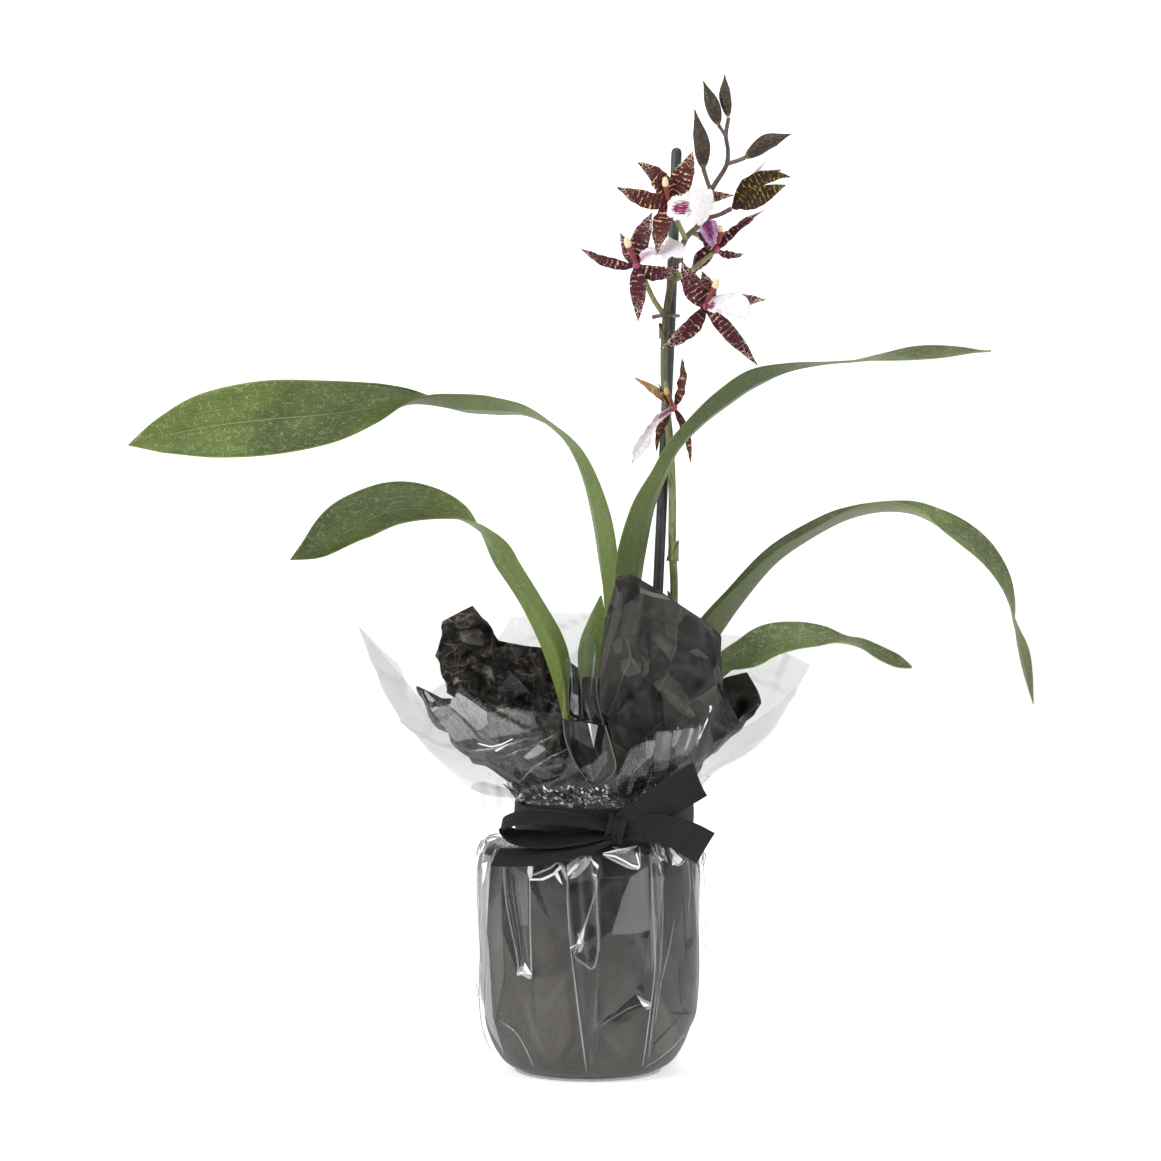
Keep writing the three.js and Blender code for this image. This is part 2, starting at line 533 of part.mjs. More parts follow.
// Tepals are [tip x, y, z, width, roll, bow x, y, z] from the flower's centre.
const flowers = {
  a: {
    centre: [44.5, -21, 493.5],
    tepals: [
      [26.5, -27, 516, 11.5, 20, 2, -4, 3], [14.7, -25, 502.5, 10, -16, 2, -4, -2.5],
      [57.5, -22, 522.5, 13.5, -14, 0.5, -3, -1], [37.4, -31, 465, 11.5, 24, -1, -3, 0],
      [81, -12, 498.5, 10, 10, 0, 3, 1],
    ],
    lip: [
      [45.5, -25, 492.5, 5, -10, 14], [48.5, -27.5, 492, 9, -8, 10], [52, -29, 491, 7, -6, 8],
      [55.5, -30, 491, 16, 0, 5], [60, -30.5, 491.5, 20, 4, 3], [64.5, -29, 491, 19, 6, 4],
      [68, -26.5, 490, 10, 8, 6],
    ],
    column: [
      [43.6, -24, 496, 1.6], [42.6, -26.5, 500.5, 1.5], [42, -28.5, 504.5, 1.9],
      [41.8, -29.5, 507.4, 1.3],
    ],
  },
  b: {
    centre: [26, -17, 459],
    tepals: [
      [-5.9, -26, 468.6, 7, -30, 0, 0, -3], [34.9, -16, 488.7, 11.5, -20, -1.5, -2, 0],
      [50.6, -16, 458.3, 9.5, 30, 0, -1, -4], [27, -22, 427.5, 9.5, 8, 0.5, -3, 0],
      [17, 4, 478, 9, 0, 0, 3, 1],
    ],
    lip: [
      [28.5, -21, 462.5, 5, -20, 14], [32.5, -24, 465, 8, -46, 12], [37, -26, 466, 9, -56, 8],
      [42, -27, 466.5, 16, -58, 5], [47.5, -27, 468, 20, -50, 5], [52.5, -25.5, 470, 13, -42, 8],
    ],
    column: [
      [25.3, -20, 461.7, 1.5], [23.1, -22.5, 466.6, 1.5], [21.1, -24, 471, 2], [20.2, -24.5, 474, 1.4],
    ],
  },
  c: {
    centre: [65, -14, 436],
    tepals: [
      [52, -17, 461, 13, 14, -1, -3, -1], [63.4, -4, 456, 11, -10, 2, 2, 0],
      [99.3, -14, 439.8, 9.5, -14, 0, 2, 1],
      [39.5, -18, 412, 10.5, -24, 3, -3, -1], [94.4, -20, 402.5, 9, 10, 1, -3, -0.5],
    ],
    lip: [
      [67.5, -18, 437, 5, -24, 14], [72, -20.5, 438, 10, -40, 10], [76, -22.5, 437.5, 8, -44, 8],
      [80, -24, 437, 14, -44, 5], [84.5, -24.5, 437, 18, -36, 5], [89, -23, 438, 11, -30, 8],
    ],
    column: [
      [66, -17.5, 439, 1.5], [68.4, -19.5, 443.5, 1.5], [70.6, -21, 448, 2], [71.5, -21.5, 451, 1.4],
    ],
  },
  d: {
    centre: [72, 16, 469],
    tepals: [
      [99.5, 12, 491.5, 5.5, -28, -0.5, 0, 1.5], [88.5, 24, 467, 5, 30, 0, 0, -2],
      [58.5, 12, 477, 10, 24, 0, -3, 3], [59, 17, 454.5, 10, -20, -1, 0, 3], [83, 34, 482, 7, 0, 0, 3, 1],
    ],
    lip: [
      [70.5, 11.5, 471.5, 4, 8, 14], [69, 10, 475, 7, 6, 10], [68, 9.5, 479, 10, 4, 8],
      [66.8, 9.5, 483, 11, 2, 8], [66, 10, 486.5, 7, 0, 8],
    ],
    column: [
      [73, 12.5, 472.5, 1.3], [74, 11, 476.5, 1.4], [74.4, 10.5, 480, 1.7], [74.2, 10.5, 482.4, 1.1],
    ],
  },
  e: {
    centre: [47, -13.5, 379],
    tepals: [
      [24.5, -19, 396, 5, 10, 2, -2, 0], [52, -14, 407, 5.5, -20, 2.4, 0, -2],
      [38, -17, 393, 4, 30, -1, -2, 1],
      [57, -9, 347.5, 5, 16, 2, 2, 3], [37.5, -14, 354, 5, -10, -2, -1, 2],
    ],
    lip: [
      [45.4, -15.7, 377.6, 3, 4, 16], [39, -19.5, 373, 5, 10, 30], [34.5, -21, 367, 5, 16, 34],
      [30.5, -22, 359, 8.5, 20, 30], [26, -22.5, 352, 6, 22, 26], [23.5, -22.5, 347.5, 1.6, 22, 20],
    ],
    column: [[46, -17, 381, 1.2], [44.5, -19, 384.5, 1.2], [43, -20, 388, 1.4], [42.6, -20.4, 390, 0.9]],
  },
};

const tepalOutline = [[0, 0.34], [0.14, 0.66], [0.34, 1], [0.54, 0.94], [0.74, 0.6], [0.9, 0.22],
[1, 0.08]];

function tepalRows(centre, [tipX, tipY, tipZ, width, roll, bowX, bowY, bowZ]) {
  return tepalOutline.map(([k, size]) => {
    const arch = 4 * k * (1 - k);
    const reach = [tipX, tipY, tipZ].map((value, i) => centre[i] + (value - centre[i]) * k);
    const bow = [bowX, bowY, bowZ].map((value) => value * arch);
    return [reach[0] + bow[0], reach[1] + bow[1], reach[2] + bow[2], width * size, roll, 10 - 6 * k];
  });
}

function tepalStar({ centre, tepals }, grow = 0) {
  const blades = tepals.map((tepal) => {
    const form = { steps: 6, across: 1, middle: 1, edge: 0.7, wave: tepal[3] * 0.05, waves: 2, grow };
    return asSolid(blade(tepalRows(centre, tepal), form));
  });
  const heart = new THREE.IcosahedronGeometry(2.6 + grow, 0).translate(...centre);
  return joined([asSolid(heart), ...blades]);
}

function lipSolid(flower, grow = 0) {
  const form = { steps: 7, across: 2, middle: 0.9, edge: 0.75, wave: 1.3, waves: 2.4, grow };
  return asSolid(blade(flower.lip, form));
}

function columnSolid(flower, grow = 0) {
  return asSolid(rod(flower.column, 6, 4, grow));
}

// ---- ribbon ------------------------------------------------------------------------------------

function ribbonBand() {
  const outer = bandInner + ribbonThick;
  const ring = lathe([
    [bandInner, neckLow], [outer, neckLow], [outer + 0.5, (neckLow + neckHigh) / 2],
    [outer, neckHigh], [bandInner, neckHigh], [bandInner, neckLow],
  ], bandFacets);
  return asSolid(ring.translate(neckX, 0, 0));
}

// Strips of ribbon: [x, y, z, width, then the direction across the ribbon].
const bowStrips = [
  // left loop, lying open to the front
  [
    [12, -57, 146, 9, 0, 0.9, 0.4], [-8, -59, 150.5, 14, 0, 0.9, 0.4],
    [-28, -58, 152, 17, 0, 0.92, 0.36], [-42, -54, 150.5, 18, 0, 0.92, 0.3],
    [-49.5, -50.5, 146, 18, 0, 0.95, 0.25], [-44, -52, 141, 18, 0, 0.92, 0.34],
    [-28, -57.5, 138.5, 17, 0, 0.88, 0.44], [-8, -60, 139, 13, 0, 0.88, 0.44],
    [12, -58, 142, 9, 0, 0.9, 0.4],
  ],
  // right loop, standing up
  [
    [16, -58, 148, 10, -0.3, 0, 0.95], [28, -61, 154, 15, -0.34, 0, 0.94],
    [42, -61, 161.5, 19, -0.38, 0, 0.92], [54, -56, 168.5, 20.5, -0.38, 0, 0.92],
    [60.5, -51.5, 171.8, 20.5, -0.36, 0, 0.93], [60, -48.5, 171, 20, -0.34, 0, 0.94],
    [47, -51.5, 164.5, 18, -0.3, 0, 0.95], [31, -55, 155, 14, -0.26, 0, 0.96],
    [16, -56.5, 146, 9, -0.2, 0, 0.98],
  ],
  // right tail
  [
    [16, -57.5, 143, 9, 0.3, 0, 0.95], [30, -62, 146, 14, 0.26, 0, 0.96],
    [44, -63.5, 144.5, 17, 0.3, 0, 0.95], [55, -59, 139.5, 19, 0.38, 0, 0.92],
    [64.3, -52.5, 133.5, 20, 0.44, 0, 0.9],
  ],
  // left tail
  [
    [12, -58.5, 141, 9, 0, 0.88, 0.46], [-2, -64, 136, 13, 0, 0.88, 0.46], [-20, -66, 132, 16, 0, 0.88, 0.48],
    [-38, -63, 130, 17, 0.05, 0.88, 0.48], [-53, -57.5, 129.5, 17, 0.1, 0.87, 0.48],
  ],
];

// A flat strip that follows its rows, with square edges.
function ribbonStrip(rows) {
  const steps = (rows.length - 1) * 2;
  const spine = new THREE.CatmullRomCurve3(rows.map(([x, y, z]) => vec(x, y, z)), false, "centripetal");
  const widths = new THREE.CatmullRomCurve3(rows.map((row) => vec(row[3], 0, 0)), false, "catmullrom", 0.5);
  const aims = rows.map((row) => vec(row[4], row[5], row[6]));
  const across = new THREE.CatmullRomCurve3(aims, false, "catmullrom", 0.5);
  const points = [];
  for (let i = 0; i <= steps; i++) {
    const u = i / steps;
    const along = spine.getTangent(u);
    const side = across.getPoint(u);
    side.addScaledVector(along, -side.dot(along)).normalize();
    const normal = along.clone().cross(side);
    const half = widths.getPoint(u).x / 2;
    for (const [s, t] of [[-1, -1], [1, -1], [1, 1], [-1, 1]]) {
      const p = spine.getPoint(u);
      points.push(p.addScaledVector(side, half * s).addScaledVector(normal, (ribbonThick / 2) * t));
    }
  }
  const faces = [];
  for (let i = 0; i < steps; i++) {
    const [a, b, c, d] = [0, 1, 2, 3].map((k) => i * 4 + k);
    faces.push([a, b, b + 4], [a, b + 4, a + 4], [d, c + 4, c], [d, d + 4, c + 4]);
    faces.push([b, c, c + 4], [b, c + 4, b + 4], [d, a, a + 4], [d, a + 4, d + 4]);
  }
  const end = steps * 4;
  faces.push([0, 2, 1], [0, 3, 2], [end, end + 1, end + 2], [end, end + 2, end + 3]);
  return closedGeometry(points, faces);
}

// The band with its clearance, which the bow is cut away from.
function bandRoom() {
  const inner = bandInner - 2;
  const outer = bandInner + ribbonThick + 0.5 + gap;
  const low = neckLow - 1;
  const high = neckHigh + 1;
  const ring = lathe([[inner, low], [outer, low], [outer, high], [inner, high], [inner, low]], bandFacets);
  return asSolid(ring.translate(neckX, 0, 0));
}

function ribbonBow() {
  const strips = bowStrips.map((rows) => asSolid(ribbonStrip(rows)));
  const knot = new THREE.SphereGeometry(1, 9, 6).scale(8, 4.8, 9).translate(14, -56, 144.8);
  return without(joined([asSolid(knot), ...strips]), [bandRoom()]);
}

// ---- assembly ------------------------------------------------------------------------------------

const finishes = {
  film: { color: "#d8d8d8", roughness: 0.08, metalness: 0, opacity: 0.3, transparent: true },
  tissue: { color: "#34312f", roughness: 0.55, metalness: 0 },
  pot: { color: "#1d1d1e", roughness: 0.5, metalness: 0 },
  bark: { color: "#5b4231", roughness: 0.9, metalness: 0 },
  bulb: { color: "#5f7a3a", roughness: 0.45, metalness: 0 },
  leaf: { color: "#5c7442", roughness: 0.42, metalness: 0 },
  stem: { color: "#7d8159", roughness: 0.5, metalness: 0 },
  stake: { color: "#39474a", roughness: 0.4, metalness: 0 },
  clip: { color: "#2a2c2b", roughness: 0.4, metalness: 0 },
  bud: { color: "#4a3b30", roughness: 0.5, metalness: 0 },
  openingBud: { color: "#6d6a33", roughness: 0.5, metalness: 0 },
  tepal: { color: "#5a2632", roughness: 0.5, metalness: 0 },
  column: { color: "#a8452f", roughness: 0.45, metalness: 0 },
  lip: { color: "#efedee", roughness: 0.6, metalness: 0 },
  ribbon: { color: "#1d1c1e", roughness: 0.8, metalness: 0 },
};

const group = new THREE.Group();

function place(name, solid, finish) {
  const mesh = new THREE.Mesh(asGeometry(solid), new THREE.MeshStandardMaterial(finishes[finish]));
  mesh.name = name;
  group.add(mesh);
}

function placeWraps() {
  const film = wrap(filmBody, filmGuides, { seed: 5, pleats: 1.6, crumple: 2 });
  const tissue = wrap(tissueBody, tissueGuides, { seed: 11, pleats: 0.8, crumple: 2.4 });
  place("film_wrap", asSolid(film), "film");
  place("tissue_wrap", asSolid(tissue), "tissue");
}

// Leaves come out of the bulbs through slots, and the stem and the stake stand in plain holes.
function placeRooted() {
  const leafForm = { middle: 1.6, edge: 0.7, wave: 0.8, waves: 3 };
  const slots = Object.values(leaves).map((rows) => {
    return asSolid(blade(rows, { ...leafForm, steps: rows.length + 1, grow: gap }));
  });
  const stemHole = asSolid(rod(stemPath.slice(0, 3), 8, 6, gap + 0.2));
  const stakeHole = asSolid(rod(stakePath, 10, 6, gap));
  place("grow_pot", growPot(), "pot");
  place("bark_mix", without(barkFill(), [bulbCluster(gap), stemHole, stakeHole]), "bark");
  place("pseudobulbs", without(bulbCluster(0), [...slots, stemHole, stakeHole]), "bulb");
  place("stake", asSolid(rod(stakePath, 10, 6)), "stake");
  for (const [name, rows] of Object.entries(leaves)) {
    place(name, asSolid(blade(rows, { ...leafForm, steps: rows.length + 1 })), "leaf");
  }
}

function placeStem() {
  const blooms = Object.values(flowers).map((flower) => tepalStar(flower, gap));
  const closed = Object.values(buds).map((bud) => asSolid(rod(budRows(bud), 7, 7, gap)));
  const stakeRoom = asSolid(rod(stakePath, 10, 6, gap));
  const cutters = [...blooms, ...closed, tepalStar(openingBud, gap), stakeRoom];
  place("flower_stem", without(stemSolid(), cutters), "stem");
  place("stem_clip", stemClip(), "clip");
}

function placeBuds() {
  for (const [name, bud] of Object.entries(buds)) {
    place(name, asSolid(rod(budRows(bud), 7, 7)), "bud");
  }
  place("bud_opening", tepalStar(openingBud), "openingBud");
}

function placeFlowers() {
  for (const [name, flower] of Object.entries(flowers)) {
    const tepalRoom = tepalStar(flower, gap);
    place(`flower_${name}_tepals`, tepalStar(flower), "tepal");
    place(`flower_${name}_column`, without(columnSolid(flower), [tepalRoom]), "column");
    place(`flower_${name}_lip`, without(lipSolid(flower), [tepalRoom, columnSolid(flower, gap)]), "lip");
  }
}

function placeRibbon() {
  place("ribbon_band", ribbonBand(), "ribbon");
  place("ribbon_bow", ribbonBow(), "ribbon");
}

placeWraps();
placeRooted();
placeStem();
placeBuds();
placeFlowers();
placeRibbon();

export default group;
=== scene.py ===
# An oncidium orchid in its nursery pot, wrapped in black tissue and clear film with a ribbon.
import json
import math
import bpy
import bmesh
import numpy as np
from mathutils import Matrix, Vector
from mathutils.bvhtree import BVHTree

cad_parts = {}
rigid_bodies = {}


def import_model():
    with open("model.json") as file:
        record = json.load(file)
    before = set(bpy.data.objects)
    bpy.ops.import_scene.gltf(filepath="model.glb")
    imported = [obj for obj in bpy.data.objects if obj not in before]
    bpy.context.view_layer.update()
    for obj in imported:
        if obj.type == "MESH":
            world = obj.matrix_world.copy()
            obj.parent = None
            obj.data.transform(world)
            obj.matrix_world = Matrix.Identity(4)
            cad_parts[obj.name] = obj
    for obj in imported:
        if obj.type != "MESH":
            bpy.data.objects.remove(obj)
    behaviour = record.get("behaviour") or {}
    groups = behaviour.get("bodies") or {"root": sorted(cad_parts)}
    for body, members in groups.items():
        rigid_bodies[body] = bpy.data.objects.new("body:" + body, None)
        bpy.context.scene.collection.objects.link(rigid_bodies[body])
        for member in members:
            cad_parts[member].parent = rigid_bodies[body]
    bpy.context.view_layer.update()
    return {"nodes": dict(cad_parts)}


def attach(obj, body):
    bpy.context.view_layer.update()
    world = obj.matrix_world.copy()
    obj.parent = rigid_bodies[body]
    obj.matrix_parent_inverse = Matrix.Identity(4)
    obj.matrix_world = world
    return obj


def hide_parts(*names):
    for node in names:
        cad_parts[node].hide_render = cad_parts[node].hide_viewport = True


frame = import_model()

mm = 0.001
fullTurn = 2 * math.pi
print("frame loaded,", len(frame["nodes"]), "nodes")


def throughPoints(rows, places, tension=None):
    # smooth rows sampled at places from 0 to 1; with no tension the knots keep their distances
    rows = np.asarray(rows, float)
    spans = len(rows) - 1
    place = np.clip(np.asarray(places, float), 0, 1) * spans
    at = np.minimum(place.astype(int), spans - 1)
    k = (place - at)[:, None]
    padded = np.vstack([2 * rows[0] - rows[1], rows, 2 * rows[-1] - rows[-2]])
    p0, p1, p2, p3 = (padded[at + i] for i in range(4))
    if tension is None:
        d0, d1, d2 = (np.maximum(np.sqrt(np.linalg.norm(b - a, axis=1, keepdims=True)), 1e-4)
                      for a, b in ((p0, p1), (p1, p2), (p2, p3)))
        t1 = ((p1 - p0) / d0 - (p2 - p0) / (d0 + d1) + (p2 - p1) / d1) * d1
        t2 = ((p2 - p1) / d1 - (p3 - p1) / (d1 + d2) + (p3 - p2) / d2) * d1
    else:
        t1 = tension * (p2 - p0)
        t2 = tension * (p3 - p1)
    square = k * k
    return (p1 + t1 * k + (3 * (p2 - p1) - 2 * t1 - t2) * square
            + (2 * (p1 - p2) + t1 + t2) * (square * k))


def unit(vectors):
    return vectors / np.maximum(np.linalg.norm(vectors, axis=-1, keepdims=True), 1e-9)


def turned(vectors, axes, angles):
    # vectors turned about axes by angles in radians
    c, s = np.cos(angles)[:, None], np.sin(angles)[:, None]
    dot = np.sum(vectors * axes, axis=1, keepdims=True)
    return vectors * c + np.cross(axes, vectors) * s + axes * dot * (1 - c)


def pathThrough(rows, places):
    # the line through rows that start with x, y and z, its direction and how far it has run
    step = 1e-4
    spots = rows[:, :3]
    centre = throughPoints(spots, places)
    along = unit(throughPoints(spots, places + step) - throughPoints(spots, places - step))
    return centre, along, np.concatenate([[0], np.cumsum(np.linalg.norm(np.diff(centre, axis=0), axis=1))])


def beside(centre, side, normal, reach, lift):
    # a grid of points off a line: reach along its side and lift along its normal
    return centre[:, None, :] + side[:, None, :] * reach[..., None] + normal[:, None, :] * lift[..., None]


def roundAbout(radius, height, angle, middle):
    # a grid of points round an upright axis at x = middle
    return np.stack([middle + radius * np.cos(angle), radius * np.sin(angle), height], axis=2)


def fade(value, low, high):
    # 0 below low, 1 above high, smooth between
    k = np.clip((np.asarray(value, float) - low) / (high - low), 0, 1)
    return k * k * (3 - 2 * k)


def drift(values, knots, seed):
    # a smooth random line from -1 to 1 with that many bends over 0 to 1
    marks = np.random.default_rng(seed).uniform(-1, 1, (knots + 1, 1))
    return throughPoints(marks, values, 0.5)[:, 0]


def addObject(name, data):
    piece = bpy.data.objects.new(name, data)
    bpy.context.scene.collection.objects.link(piece)
    return piece


def makePiece(name, points, faces, values=None, uv=None, material=None, smooth=True, outward=False):
    # points in millimetres; values are numbers kept on the points; uv is in centimetres
    mesh = bpy.data.meshes.new(name)
    mesh.from_pydata((np.asarray(points).reshape(-1, 3) * mm).tolist(), [], faces)
    for key, data in (values or {}).items():
        data = np.resize(np.asarray(data, np.float32), len(mesh.vertices))
        mesh.attributes.new(key, "FLOAT", "POINT").data.foreach_set("value", data)
    if uv is not None:
        corners = np.zeros(len(mesh.loops), np.int32)
        mesh.loops.foreach_get("vertex_index", corners)
        layer = mesh.uv_layers.new(name="UVMap")
        layer.data.foreach_set("uv", np.asarray(uv, np.float32)[corners].ravel())
    if outward:
        shell = bmesh.new()
        shell.from_mesh(mesh)
        bmesh.ops.recalc_face_normals(shell, faces=shell.faces)
        shell.to_mesh(mesh)
        shell.free()
    mesh.polygons.foreach_set("use_smooth", [smooth] * len(mesh.polygons))
    if material:
        mesh.materials.append(material)
    return addObject(name, mesh)


def gridFaces(rows, columns, closed=False, start=0):
    faces = []
    for i in range(rows - 1):
        for j in range(columns if closed else columns - 1):
            a = start + i * columns + j
            b = start + i * columns + (j + 1) % columns
            faces.append((a, b, b + columns, a + columns))
    return faces


def shellFaces(rows, columns):
    # two equal grids, back to back, joined round their rim
    size = rows * columns
    faces = gridFaces(rows, columns)
    faces += [tuple(size + i for i in reversed(face)) for face in faces]
    rim = [(i * columns + j, columns) for i in range(rows - 1) for j in (0, columns - 1)]
    rim += [(i * columns + j, 1) for i in (0, rows - 1) for j in range(columns - 1)]
    return faces + [(a, a + step, a + step + size, a + size) for a, step in rim]


def mergePieces(name, pieces):
    # several fresh pieces become one mesh that keeps their values and uv
    whole = pieces[0]
    whole.name = whole.data.name = name
    with bpy.context.temp_override(active_object=whole, object=whole, selected_editable_objects=pieces,
                                   selected_objects=pieces):
        bpy.ops.object.join()
    return whole


def plainMesh(piece, name):
    # the piece with its modifiers worked out
    graph = bpy.context.evaluated_depsgraph_get()
    mesh = bpy.data.meshes.new_from_object(piece.evaluated_get(graph), depsgraph=graph)
    mesh.name = name
    return mesh


def thicken(strip, thickness):
    wall = strip.modifiers.new("wall", "SOLIDIFY")
    wall.thickness = thickness * mm
    wall.offset = 0
    mesh = plainMesh(strip, strip.name)
    strip.modifiers.clear()
    strip.data = mesh
    return strip


def settle(piece, nodes):
    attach(piece, "root")
    if nodes:
        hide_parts(*nodes)


def bladePiece(name, rows, form, values, material):
    # a closed thin blade along rows of [x, y, z, width, roll, fold]; form gives its steps, thickness
    # and keel, and functions for its outline, ripple and frill
    rows = np.asarray(rows, float)
    steps, count = form["steps"] + 1, form["across"] + 1
    places = np.linspace(0, 1, steps)
    centre, along, run = pathThrough(rows, places)
    width, roll, fold = throughPoints(rows[:, 3:6], places, 0.5).T
    front = unit(np.array([0.0, -1.0, 0.0]) - along * (-along[:, 1:2]))
    side = turned(np.cross(along, front), along, np.radians(roll))
    normal = turned(front, along, np.radians(roll))
    part = run / run[-1]
    spread = np.linspace(-1, 1, count)[None, :]
    size = np.abs(spread)
    half, fold = (np.maximum(width, 0.4) / 2)[:, None], np.radians(fold)[:, None]
    if "outline" in form:
        half = half * form["outline"](part)[:, None]
    lift = np.sin(fold) * half * size ** form["keel"] + form["ripple"](part[:, None], spread)
    reach = np.cos(fold) * half * spread
    if "frill" in form:
        reach = reach * form["frill"](part[:, None], spread)
    thick = (form["middle"] + (form["edge"] - form["middle"]) * size ** 0.7) / 2
    thin = np.minimum(half / 2.2, 1)
    points = [beside(centre, side, normal, reach, lift + face * thick * thin) for face in (1, -1)]
    data = {"along": np.tile(np.repeat(part, count), 2), "across": np.tile(spread[0], steps * 2),
            "under": np.repeat([0, 1], steps * count)}
    for key, value in values.items():
        data[key] = np.interp(data["along"], *np.transpose(value)) if isinstance(value, list) else value
    flat = np.column_stack([(half * spread).ravel(), np.repeat(run, count)]) / 10
    return makePiece(name, points, shellFaces(steps, count), data, np.tile(flat, (2, 1)), material,
                     outward=True)


def tubePiece(name, rows, sides, steps, material, ribs=None):
    # a closed round body along rows of [x, y, z, radius]
    rows = np.asarray(rows, float)
    places = np.linspace(0, 1, steps + 1)
    places = (1 - np.cos(places * math.pi)) / 2 * 0.6 + places * 0.4
    centre, along, run = pathThrough(rows, places)
    radius = np.maximum(throughPoints(rows[:, 3:4], places, 0.4)[:, 0], 0.05)
    side = np.zeros_like(along)
    last = np.array([0.0, 1.0, 0.0]) if abs(along[0][1]) < 0.9 else np.array([1.0, 0.0, 0.0])
    for i, direction in enumerate(along):
        last = last - direction * np.dot(last, direction)
        side[i] = last = last / np.linalg.norm(last)
    turn = np.linspace(0, fullTurn, sides, endpoint=False)
    part = run / run[-1]
    size = radius[:, None] * (ribs(part[:, None], turn[None, :]) if ribs else np.ones((1, sides)))
    points = beside(centre, side, np.cross(along, side), np.cos(turn) * size, np.sin(turn) * size)
    ends = [centre[0] - along[0] * radius[0] * 0.5, centre[-1] + along[-1] * radius[-1] * 0.5]
    first, tip = (steps + 1) * sides, steps * sides
    faces = gridFaces(steps + 1, sides, closed=True)
    for j in range(sides):
        k = (j + 1) % sides
        faces += [(first, k, j), (first + 1, tip + j, tip + k)]
    data = {"along": [*np.repeat(part, sides), 0, 1], "around": [*np.tile(turn / fullTurn, steps + 1), 0, 0]}
    return makePiece(name, np.vstack([points.reshape(-1, 3), ends]), faces, data, None, material,
                     outward=True)


def hexColour(text):
    # "#rrggbb" as it looks on screen, turned into linear light
    parts = [int(text[i:i + 2], 16) / 255 for i in (1, 3, 5)]
    return [c / 12.92 if c < 0.04045 else ((c + 0.055) / 1.055) ** 2.4 for c in parts]


class Link:
    # a socket that is added, subtracted and multiplied like a number
    def __init__(self, finish, socket):
        self.finish = finish
        self.socket = socket

    def __add__(self, other):
        return self.finish.math("ADD", self, other)

    def __radd__(self, other):
        return self.finish.math("ADD", other, self)

    def __sub__(self, other):
        return self.finish.math("SUBTRACT", self, other)

    def __rsub__(self, other):
        return self.finish.math("SUBTRACT", other, self)

    def __mul__(self, other):
        return self.finish.math("MULTIPLY", self, other)

    def __rmul__(self, other):
        return self.finish.math("MULTIPLY", other, self)


class Finish:
    # a material on one Principled shader
    def __init__(self, name, **sockets):
        self.material = bpy.data.materials.new(name)
        self.material.use_nodes = True
        self.tree = self.material.node_tree
        self.shader = self.tree.nodes["Principled BSDF"]
        self.set(**sockets)

    def plug(self, socket, value):
        if isinstance(value, Link):
            self.tree.links.new(value.socket, socket)
        else:
            socket.default_value = (*hexColour(value), 1) if isinstance(value, str) else value

    def set(self, **sockets):
        # underscores stand for the spaces in a socket's name
        for name, value in sockets.items():
            self.plug(self.shader.inputs[name.replace("_", " ")], value)

    def make(self, kind, settings, inputs, output=0):
        node = self.tree.nodes.new("ShaderNode" + kind)
        for key, value in settings.items():
            setattr(node, key, value)
        for key, value in inputs.items():
            self.plug(node.inputs[key], value)
        return Link(self, node.outputs[output])

    def math(self, operation, *values):
        return self.make("Math", {"operation": operation}, dict(enumerate(values)))

    def shift(self, source, more):
        return self.make("VectorMath", {"operation": "ADD"}, {0: source, 1: more})

    def scale(self, source, size):
        return self.make("VectorMath", {"operation": "SCALE"}, {0: source, "Scale": size})

    def axis(self, source, name):
        return self.make("SeparateXYZ", {}, {0: source}, name)

    def point(self):
        return self.make("TexCoord", {}, {}, "Object")

    def flat(self):
        return self.make("UVMap", {"uv_map": "UVMap"}, {})

    def value(self, name):
        return self.make("Attribute", {"attribute_name": name}, {}, "Fac")

    def stretched(self, source, *scale):
        return self.make("Mapping", {}, {"Vector": source, "Scale": scale})

    def noise(self, source, scale, detail=3.0, rough=0.5, twist=0.0, output=0):
        return self.make("TexNoise", {}, {"Vector": source, "Scale": scale, "Detail": detail,
                                          "Roughness": rough, "Distortion": twist}, output)

    def cells(self, source, scale, feature="F1", output="Distance"):
        return self.make("TexVoronoi", {"feature": feature}, {"Vector": source, "Scale": scale}, output)

    def fade(self, value, low, high, first=0.0, second=1.0):
        return self.make("MapRange", {"interpolation_type": "SMOOTHSTEP"},
                         {"Value": value, "From Min": low, "From Max": high, "To Min": first,
                          "To Max": second})

    def mix(self, factor, first, second):
        return self.make("Mix", {"data_type": "RGBA"}, {0: factor, 6: first, 7: second}, 2)

    def bump(self, height, distance, strength=1.0):
        self.set(Normal=self.make("Bump", {}, {"Height": height, "Distance": distance, "Strength": strength}))


